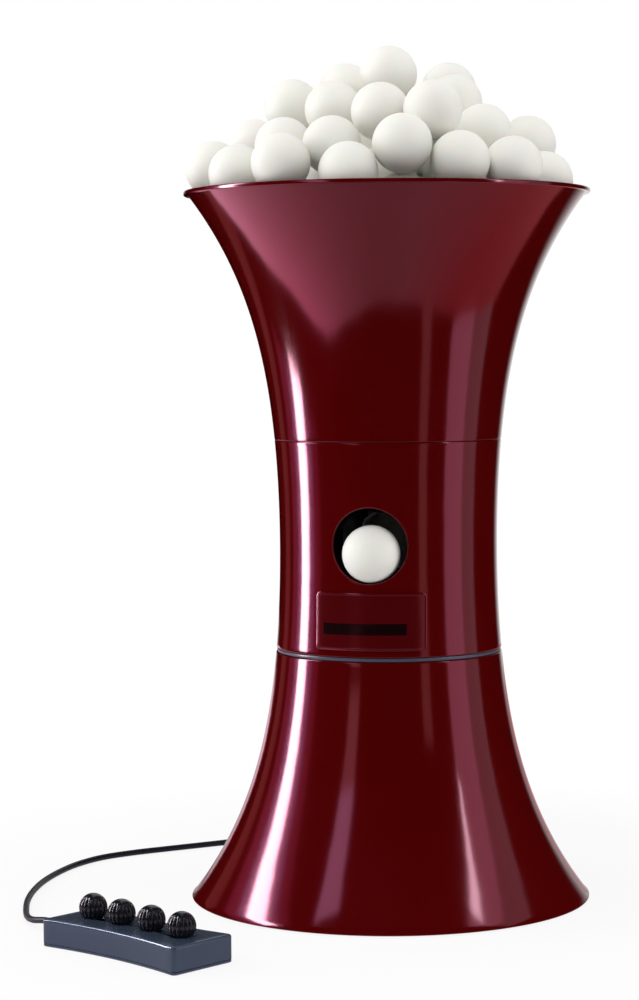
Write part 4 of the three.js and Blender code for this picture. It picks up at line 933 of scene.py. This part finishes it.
def mouth_tube(material):
    """A tube on the outlet's axis whose front end follows the inside of the wall: y is minus the root of the
    wall's inner radius squared less x squared."""
    turn = np.arange(NOZZLE_SIDES) * 2 * np.pi / NOZZLE_SIDES
    bore, outer = OUTLET_RADIUS + SEAT_GAP, OUTLET_RADIUS + SEAT_GAP + NOZZLE_WALL
    bevel = NOZZLE_WALL / 6

    def ring(radius, share):
        """A ring of the tube, at a share of the way from its back to its front."""
        x, z = radius * np.sin(turn), OUTLET_HEIGHT + radius * np.cos(turn)
        front = -np.sqrt((bell_radius(z) - SHELL_WALL - SEAT_GAP) ** 2 - x * x)
        return np.stack([x, NOZZLE_BACK + (front - NOZZLE_BACK) * share, z], -1)

    rings = ((bore, 0), (bore, 0.5), (bore, 0.97), (bore + bevel, 0.99), ((bore + outer) / 2, 1),
             (outer - bevel, 0.99), (outer, 0.97), (outer, 0.5), (outer, 0))
    tube = looped("mouth_tube", np.stack([ring(radius, share) for radius, share in rings]))
    return dressed(tube, "head", material, "black_plastic", "outlet_nozzle")


def name_plate(material):
    """A thin plate with round corners, bent to the tower: rings of its outline shrink towards its middle, and
    at its edge they step over a small bevel and down to its back."""
    (_, _, foot), (half, _, top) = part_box("label_plate")
    outline = rounded([(-half, foot), (half, foot), (half, top), (-half, top)], LABEL_CORNER, 9)
    outline = np.vstack([
        np.linspace(first, last, 25)[:-1] if np.linalg.norm(last - first) > LABEL_CORNER else first[None]
        for first, last in zip(outline, np.roll(outline, -1, 0))])
    middle = np.array([0, (foot + top) / 2])
    rows = []
    face = [(share, 1) for share in np.linspace(0.02, 0.985, 14)]
    for share, lift in [*face, (0.995, 0.9), (1, 0.7), (1, 0), (0.5, 0), (0.02, 0)]:
        flat = middle + (outline - middle) * share
        radius = bell_radius(flat[:, 1]) + SEAT_GAP + LABEL_THICKNESS * lift
        rows.append(np.stack([flat[:, 0], -np.sqrt(radius ** 2 - flat[:, 0] ** 2), flat[:, 1]], -1))
    return dressed(looped("name_plate", np.stack(rows)), "head", material, "label", "label_plate")


# Balls

LEAST_TRIANGLE = 1e-12
CENTRE_CELL = 0.002
CENTRE_VOTES = 5


def ball_centres(node):
    """Where the balls of a node lie: a triangle of a faceted ball gives its centre, which lies below the
    middle of the triangle's circumcircle by the root of the ball's radius squared less the circle's."""
    mesh = bpy.data.objects[node].data
    mesh.calc_loop_triangles()
    corners, triangles = np.empty(len(mesh.vertices) * 3), np.empty(len(mesh.loop_triangles) * 3, int)
    mesh.vertices.foreach_get("co", corners)
    mesh.loop_triangles.foreach_get("vertices", triangles)
    a, b, c = corners.reshape(-1, 3)[triangles.reshape(-1, 3)].transpose(1, 0, 2)
    u, v = b - a, c - a
    across = np.cross(u, v)
    size = (across ** 2).sum(1)[:, None]
    sound = size[:, 0] > LEAST_TRIANGLE
    a, u, v, across, size = a[sound], u[sound], v[sound], across[sound], size[sound]
    reach = np.cross(across, u) * (v ** 2).sum(1)[:, None] + np.cross(v, across) * (u ** 2).sum(1)[:, None]
    reach /= 2 * size
    low = BALL_RADIUS ** 2 - (reach ** 2).sum(1)
    fits = low > 0
    normal = across[fits] / np.sqrt(size[fits])
    guesses = (a + reach)[fits] - normal * np.sqrt(low[fits])[:, None]
    _, cell, votes = np.unique(np.round(guesses / CENTRE_CELL), axis=0, return_inverse=True,
                               return_counts=True)
    centres = []
    for most in np.argsort(-votes):
        centre = guesses[cell.reshape(-1) == most].mean(0)
        apart = all(np.linalg.norm(centre - other) > BALL_RADIUS for other in centres)
        if votes[most] >= CENTRE_VOTES and apart:
            centres.append(centre)
    return np.array(centres)


def balls(name, node, rings, sides, material):
    """Round balls where a node has its faceted ones, each a grid of rings between its two poles."""
    polar = np.linspace(0, np.pi, rings)[:, None]
    angle = np.arange(sides) * 2 * np.pi / sides
    grid = BALL_RADIUS * np.stack([np.sin(polar) * np.cos(angle), np.sin(polar) * np.sin(angle),
                                   np.cos(polar) * np.ones(sides)], -1)
    centres = ball_centres(node)
    points = centres[:, None] + grid.reshape(1, -1, 3)
    faces = [grid_faces(rings, sides, False, True, i * rings * sides) for i in range(len(centres))]
    return dressed(shaped(name, points, np.vstack(faces), 80), "head", material, "ball_white", node)


# Control box


def box_outline(inset):
    """The box seen from above: long sides drawn in towards the middle on a parabola, and short corners."""
    length, width = BOX_LENGTH / 2 - inset, BOX_WIDTH / 2 - inset
    corner = max(BOX_CORNER - inset / 2, BOX_CORNER / 8)
    share = np.linspace(0, 1, 25)
    along = (length - corner) * (2 * share - 1)
    draw = width - BOX_WAIST * 4 * share * (1 - share)
    ends = rounded([(-length, -width), (length, -width), (length, width), (-length, width)], corner, 7)
    near, far = np.stack([along, -draw], -1), np.stack([along[::-1], draw[::-1]], -1)
    return np.vstack([ends[:7], near[1:-1], ends[7:14], ends[14:21], far[1:-1], ends[21:]])


def box_rows(levels):
    """Rings of the box's outline, each at an inset and a height, turned and moved to where the box lies."""
    rings = [np.insert(box_outline(inset), 2, height, axis=1) for inset, height in levels]
    return np.stack(rings) @ spin(BOX_TURN).T + (*BOX_CENTRE, 0)


def on_box(piece, along, across, height):
    """Moves a piece's mesh, made at the origin, to a place on the box, turned as the box is."""
    place = mathutils.Matrix.Translation(box_point(along, across, height))
    piece.data.transform(place @ mathutils.Matrix.Rotation(BOX_TURN, 4, "Z"))
    return piece


def box_case(material):
    """The box's upper part: rings of its outline go up the side, round a bevel and over the top, then back
    inside under the top and down the inner side."""
    steps = np.linspace(0, np.pi / 2, 6)
    bevel = [(BOX_BEVEL * (1 - math.cos(a)), BOX_HEIGHT - BOX_BEVEL + BOX_BEVEL * math.sin(a)) for a in steps]
    crown = [(BOX_BEVEL + (BOX_WIDTH / 2 - BOX_WAIST - BOX_BEVEL) * s, BOX_HEIGHT) for s in (0.3, 0.6, 0.9)]
    levels = [(BOX_EDGE, COVER_HEIGHT), (0, COVER_HEIGHT + BOX_EDGE), (0, BOX_HEIGHT / 2), *bevel, *crown]
    inner = BOX_HEIGHT - BOX_WALL
    hollow = [(BOX_MIDDLE, inner), (BOX_WALL, inner), (BOX_WALL, COVER_HEIGHT)]
    case = looped("box_case", box_rows([*levels, *hollow]), 40)
    return dressed(case, "base", material, "box_plastic", "box_top_case")


def box_floor(material):
    """The box's flat lower part: rings of its outline run out under it, up its edge and in again on top."""
    top = COVER_HEIGHT - SEAT_GAP / 3
    rows = box_rows([(BOX_MIDDLE, 0), (COVER_INSET + COVER_CHAMFER, 0), (COVER_INSET, COVER_ROUND),
                     (COVER_INSET, COVER_HEIGHT - SEAT_GAP), (COVER_INSET + COVER_ROUND, top),
                     (BOX_MIDDLE, top)])
    return dressed(looped("box_floor", rows, 40), "base", material, "box_plastic", "box_cover")


def ribbed_knob(place, material):
    """A ball-shaped knob with upright ribs. Its radius from the top down is the ball's, less a rib depth that
    grows from the dome to the sides and follows the cosine of the rib count times the angle."""
    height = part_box("knob_1")[0].z - KNOB_CENTRE_HEIGHT
    lowest = math.acos(height / KNOB_RADIUS)
    polar = np.linspace(0, lowest, KNOB_ROWS)[:, None]
    angle = np.linspace(0, 2 * np.pi, RIB_STEPS * KNOB_RIBS, endpoint=False)
    fade = np.clip((polar / lowest - RIB_START) / RIB_FADE, 0, 1)
    fade = fade * fade * (3 - 2 * fade)
    groove = (0.5 - 0.5 * np.cos(KNOB_RIBS * angle)) ** 2
    radius = (KNOB_RADIUS - KNOB_RIB_DEPTH * fade * groove) * np.sin(polar)
    radius = radius * (1 - KNOB_TUCK * np.clip((polar / lowest - 0.9) / 0.1, 0, 1) ** 2)
    top = np.broadcast_to(KNOB_RADIUS * np.cos(polar), radius.shape)
    dome = np.stack([radius * np.cos(angle), radius * np.sin(angle), top], -1)
    bore = DIAL_SHAFT_RADIUS + SEAT_GAP
    deep = DIAL_SHAFT_TOP + SEAT_GAP - KNOB_CENTRE_HEIGHT
    circle = np.stack([np.cos(angle), np.sin(angle), np.ones_like(angle)], -1)
    under = [circle * ring for ring in ((bore, bore, height), (bore, bore, deep), (1e-5, 1e-5, deep))]
    grid = np.concatenate([dome, np.stack([dome[-1] * (0.985, 0.985, 1), *under])])
    knob = shaped(f"ribbed_knob_{place + 1}", grid, grid_faces(*grid.shape[:2], False, True), 50)
    on_box(knob, KNOB_PLACE_SHARES[place] * BOX_LENGTH, 0, KNOB_CENTRE_HEIGHT)
    return dressed(knob, f"dial_{place + 1}", material, "knob_black", f"knob_{place + 1}")


def box_relief(material):
    """The sleeve where the cable enters the box: it tapers, with a round end and three shallow grooves."""
    start, face, end = BOX_LENGTH / 2 - 2 * BOX_WALL, BOX_LENGTH / 2, BOX_LENGTH / 2 + BOX_GLAND_LENGTH
    corners = [(0, start), (BOX_GLAND_RADIUS, start), (BOX_GLAND_RADIUS, face + 0.0008)]
    for share in (0.25, 0.5, 0.75):
        reach = face + BOX_GLAND_LENGTH * share
        radius = BOX_GLAND_RADIUS + (BOX_GLAND_TIP - BOX_GLAND_RADIUS) * share
        corners += [(radius, reach - GROOVE_HALF), (radius - GROOVE_DEPTH, reach),
                    (radius, reach + GROOVE_HALF)]
    corners += [(BOX_GLAND_TIP, end), (0, end)]
    radii = [0, 0.0003, 0.0004, *[0.0002] * 9, 0.0006, 0]
    lying = np.array([[0, 0, -1], [0, 1, 0], [1, 0, 0]])
    relief = looped("box_sleeve", turned_points(rounded(corners, radii), 40) @ lying.T, 40)
    on_box(relief, 0, 0, BOX_CABLE_HEIGHT)
    return dressed(relief, "base", material, "cable_black", "box_cable_relief")


def cable_gland(material):
    """The cable's gland at the back of the base: a nut inside the wall and a tapering sleeve outside it."""
    wall = bell_radius(GLAND_HEIGHT)
    foot, nut, tip = wall - SHELL_WALL - GLAND_INSIDE, wall - 2 * SHELL_WALL, wall + GLAND_OUTSIDE
    flange = GLAND_RADIUS + GLAND_FLANGE
    corners = [(0, foot), (flange, foot), (flange, nut), (GLAND_RADIUS, nut), (GLAND_RADIUS, wall + 0.001),
               (GLAND_TIP, tip), (0, tip)]
    gland = turned_out("gland", corners, [0, 0.0005, 0.0005, 0, 0.0008, 0.0006, 0], math.pi / 2, GLAND_HEIGHT)
    return dressed(gland, "base", material, "black_plastic", "cable_gland")


def power_socket(material):
    """A round inlet with its contact pin, set into the wall."""
    mouth = bell_radius(SOCKET_HEIGHT)
    back, floor, tip = mouth - SOCKET_LENGTH, mouth - SOCKET_DEPTH, mouth - SOCKET_BORE / 2
    corners = [(0, back), (SOCKET_RADIUS, back), (SOCKET_RADIUS, mouth), (SOCKET_BORE, mouth),
               (SOCKET_BORE, floor), (0, floor)]
    radii = [0, 0.0004, 0.0006, 0.0004, 0.0003, 0]
    body = turned_out("inlet_body", corners, radii, SOCKET_ANGLE, SOCKET_HEIGHT)
    corners = [(0, floor - SEAT_GAP), (SOCKET_PIN, floor - SEAT_GAP), (SOCKET_PIN, tip), (0, tip)]
    pin = turned_out("inlet_pin", corners, [0, 0, SOCKET_PIN / 2, 0], SOCKET_ANGLE, SOCKET_HEIGHT, 24)
    return dressed(joined("inlet", body, pin), "base", material, "black_plastic", "power_socket")


def base_pad(material):
    """The rubber disc under the base, with a ring groove near its edge."""
    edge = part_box("base_pad")[1].x
    groove, roof = edge - 3 * PAD_HEIGHT, PAD_HEIGHT / 3
    corners = [(0, 0), (groove - PAD_HEIGHT, 0), (groove - PAD_HEIGHT, roof), (groove, roof), (groove, 0),
               (edge, 0), (edge, PAD_HEIGHT), (0, PAD_HEIGHT)]
    pad = turned("pad", corners, [0, 0.0002, 0.0001, 0.0001, 0.0002, PAD_ROUND, PAD_ROUND, 0])
    return dressed(pad, "base", material, "rubber", "base_pad")


def coil_tie(material):
    """A flat strap round one side of the coil: its loop is a box with round corners, and its section a thin
    rectangle with its corners cut, given as the place across the strap and the height over the loop."""
    half = TIE_WIDTH / 2
    outer = COIL_INNER + COIL_PITCH * COIL_WHOLE_TURNS / 2
    clear = CABLE_DIAMETER / 2 + TIE_GAP
    near, far = math.sqrt(COIL_INNER ** 2 - half ** 2) - clear, outer + clear
    low, high = COIL_LIFT - clear, COIL_LIFT + COIL_PITCH + clear
    edge, bend, thick = TIE_THICKNESS / 4, CABLE_DIAMETER / 3, TIE_THICKNESS
    section = ((-half, edge), (-half + edge, 0), (half - edge, 0), (half, edge), (half, thick - edge),
               (half - edge, thick), (-half + edge, thick), (-half, thick - edge))
    grid = []
    for side, out in section:
        loop = rounded([(near - out, low - out), (far + out, low - out), (far + out, high + out),
                        (near - out, high + out)], bend + out, 8)
        grid.append(np.insert(loop, 1, side, axis=1))
    grid = np.array(grid) @ spin(TIE_ANGLE).T + (-outer, COIL_CENTRE_Y, 0)
    return dressed(looped("strap", grid, 50), "base", material, "black_plastic", "coil_tie")


# Studio: a pale floor, plain soft light, and tall lamps and panels that the gloss shows as upright streaks


def around(azimuth, distance, height):
    """A place round the tower. Azimuth 0 is towards the camera and 90 is to its right."""
    towards = np.array([CAMERA_PLACE[0], CAMERA_PLACE[1]]) / math.hypot(*CAMERA_PLACE[:2])
    right = np.array([-towards[1], towards[0]])
    angle = math.radians(azimuth)
    x, y = (math.cos(angle) * towards + math.sin(angle) * right) * distance
    return mathutils.Vector((x, y, height))


def lamp(name, azimuth, distance, height, aim_height, size, strength):
    """A flat square lamp that looks at a height on the tower's axis. It lights the surfaces and doesn't show
    in their gloss. Its strength is how bright its face looks, 1 being white."""
    place = around(azimuth, distance, height)
    data = bpy.data.lights.new(name, "AREA")
    data.shape = "RECTANGLE"
    data.size = data.size_y = size
    data.energy = strength * math.pi * size * size
    light = linked(name, data)
    turn = (mathutils.Vector((0, 0, aim_height)) - place).to_track_quat("-Z", "Y").to_matrix().to_4x4()
    light.matrix_world = mathutils.Matrix.Translation(place) @ turn
    light.visible_camera = light.visible_glossy = False


def card(name, low_edge, high_edge, strength, colour, distance):
    """A bright upright card that shows only in the gloss. Each edge is its height and the two azimuths that
    it runs between, so that a card can widen upwards. It keeps one distance from the tower's axis."""
    up, across = np.linspace(0, 1, 5)[:, None], np.linspace(0, 1, 9)[None, :]
    (low, low_from, low_to), (high, high_from, high_to) = low_edge, high_edge
    low_row, high_row = low_from + (low_to - low_from) * across, high_from + (high_to - high_from) * across
    azimuth = (1 - up) * low_row + up * high_row
    height = (1 - up) * low + up * high + 0 * across
    points = np.array([[around(a, distance, h) for a, h in zip(*row)] for row in zip(azimuth, height)])
    made = shaped(name, points, grid_faces(*height.shape))
    material, tree = new_material(name)
    tree.nodes.remove(tree.nodes["Principled BSDF"])
    light = put(tree, "ShaderNodeEmission", Strength=strength, Color=(*colour, 1))
    feed(tree, tree.nodes["Material Output"].inputs["Surface"], light.outputs[0])
    made.data.materials.append(material)
    made.visible_camera = made.visible_diffuse = made.visible_shadow = made.visible_transmission = False


def studio_lights():
    for name, values in LAMPS.items():
        lamp(name, *values)
    for name, values in CARDS.items():
        card(name, *values)


def studio_world():
    """White to the camera, and white in the gloss only towards the backdrop behind the tower. Elsewhere the
    gloss sees a dim room, and the surfaces are lit evenly."""
    world = bpy.data.worlds.new("studio")
    bpy.context.scene.world = world
    world.use_nodes = True
    tree = world.node_tree
    background = tree.nodes["Background"].inputs
    rays = put(tree, "ShaderNodeLightPath").outputs
    level = put(tree, "ShaderNodeVectorMath", operation="MULTIPLY")
    feed(tree, level.inputs[0], put(tree, "ShaderNodeTexCoord").outputs["Generated"])
    feed(tree, level.inputs[1], (1, 1, 0))
    level = put(tree, "ShaderNodeVectorMath", operation="NORMALIZE", Vector=level.outputs[0]).outputs[0]
    towards = reach_along(tree, level, around(BACKDROP_AZIMUTH, 1, 0))
    backdrop = ramp(tree, towards, BACKDROP_EDGE, BACKDROP_WHITE)
    gloss = times(tree, rays["Is Glossy Ray"], math_node(tree, "MAXIMUM", backdrop, ROOM_GLOSS))
    seen = math_node(tree, "MAXIMUM", rays["Is Camera Ray"], rays["Is Transmission Ray"])
    plain = times(tree, less(tree, 1.0, rays["Is Glossy Ray"]), ROOM_LIGHT)
    strength = math_node(tree, "MAXIMUM", math_node(tree, "MAXIMUM", seen, gloss), plain)
    feed(tree, background["Strength"], strength)
    feed(tree, background["Color"], WHITE)


def studio_floor():
    """A pale floor. To the camera its shader fades to plain white away from the object, so that it meets the
    backdrop, and it takes the object's shadow near it. To glossy rays it is a painted reflection: an emission
    that brightens with the square of the distance to the left, and whose colour changes from side to side."""
    places, left_side, right_side = np.array(FLOOR_EDGES).T
    behind = np.linspace(places[-1], places[0], 40)
    left_side, right_side = np.interp(behind, places, left_side), np.interp(behind, places, right_side)
    side = left_side[:, None] + (right_side - left_side)[:, None] * np.linspace(0, 1, 16)
    towards, right = np.array(around(0, 1, 0)), np.array(around(90, 1, 0))
    grid = side[..., None] * right - behind[:, None, None] * towards
    grid[..., 2] = -FLOOR_DROP
    floor = shaped("floor", grid, grid_faces(*grid.shape[:2]))
    material, tree = new_material("pale_floor")
    shader, output = tree.nodes["Principled BSDF"], tree.nodes["Material Output"]
    feed(tree, shader.inputs["Roughness"], FLOOR_ROUGHNESS)
    feed(tree, shader.inputs["Base Color"], FLOOR_COLOUR)
    white = put(tree, "ShaderNodeEmission", Strength=1.0, Color=WHITE)
    rays = put(tree, "ShaderNodeLightPath").outputs
    place = object_place(tree)
    away = put(tree, "ShaderNodeVectorMath", operation="LENGTH", Vector=place).outputs["Value"]
    fade = ramp(tree, away, FLOOR_WHITE_NEAR, FLOOR_WHITE_FAR, FLOOR_SHARE)
    across = reach_along(tree, place, right)
    leftward = math_node(tree, "MINIMUM", across, FLOOR_GLOW_TURN)
    bright = plus(tree, times(tree, times(tree, leftward, leftward), FLOOR_GLOW_RISE), FLOOR_GLOW_LEAST)
    far_left, far_right = ramp(tree, across, *FLOOR_LEFT_PART), ramp(tree, across, *FLOOR_RIGHT_PART)
    glow = mix_colour(tree, far_left, FLOOR_GLOW, FLOOR_GLOW_LEFT)
    glow = mix_colour(tree, far_right, glow, FLOOR_GLOW_RIGHT)
    # Painted reflection: glossy rays see this emission in place of the lit floor
    mirrored = put(tree, "ShaderNodeEmission", Color=glow, Strength=bright)
    seen = put(tree, "ShaderNodeMixShader", Fac=times(tree, rays["Is Camera Ray"], fade))
    mixed = put(tree, "ShaderNodeMixShader", Fac=rays["Is Glossy Ray"])
    for made, first, second in ((seen, shader, white), (mixed, seen, mirrored)):
        feed(tree, made.inputs[1], first.outputs[0])
        feed(tree, made.inputs[2], second.outputs[0])
    feed(tree, output.inputs["Surface"], mixed.outputs[0])
    floor.data.materials.append(material)


# Assembly

aim_camera()
black = black_satin()
lay_cable(cable_sheath(), coil_tie(black))

maroon = maroon_gloss()
graphite = graphite_case()
ball_skin = ball_white()
knob_finish = knob_gloss()
rubber = soft_rubber()

base_shell(maroon)
head_shell(maroon)
hopper(maroon)
glide_band(band_with_painted_sheen())
mouth_tube(nozzle_black())
name_plate(plate_maroon())
balls("heap_of_balls", "ball_heap", 21, 40, ball_skin)
balls("ball_at_outlet", "outlet_ball", 41, 80, ball_skin)
box_case(graphite)
box_floor(graphite)
for place in range(len(KNOB_PLACE_SHARES)):
    ribbed_knob(place, knob_finish)
box_relief(black)
cable_gland(black)
power_socket(black)
base_pad(rubber)

FINISHES = {
    "red_shell": maroon, "black_plastic": black, "box_plastic": graphite, "ball_white": ball_skin,
    "rubber": rubber, "steel": turned_steel(), "white_plastic": off_white(), "board_green": board_green(),
    "tyre_foam": tyre_foam(), "knob_black": knob_finish,
}
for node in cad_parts.values():
    slot = node.data.materials[0].name
    if slot in FINISHES:
        node.data.materials[0] = FINISHES[slot]

studio_lights()
studio_world()
studio_floor()
bpy.context.scene.view_settings.view_transform = "Standard"
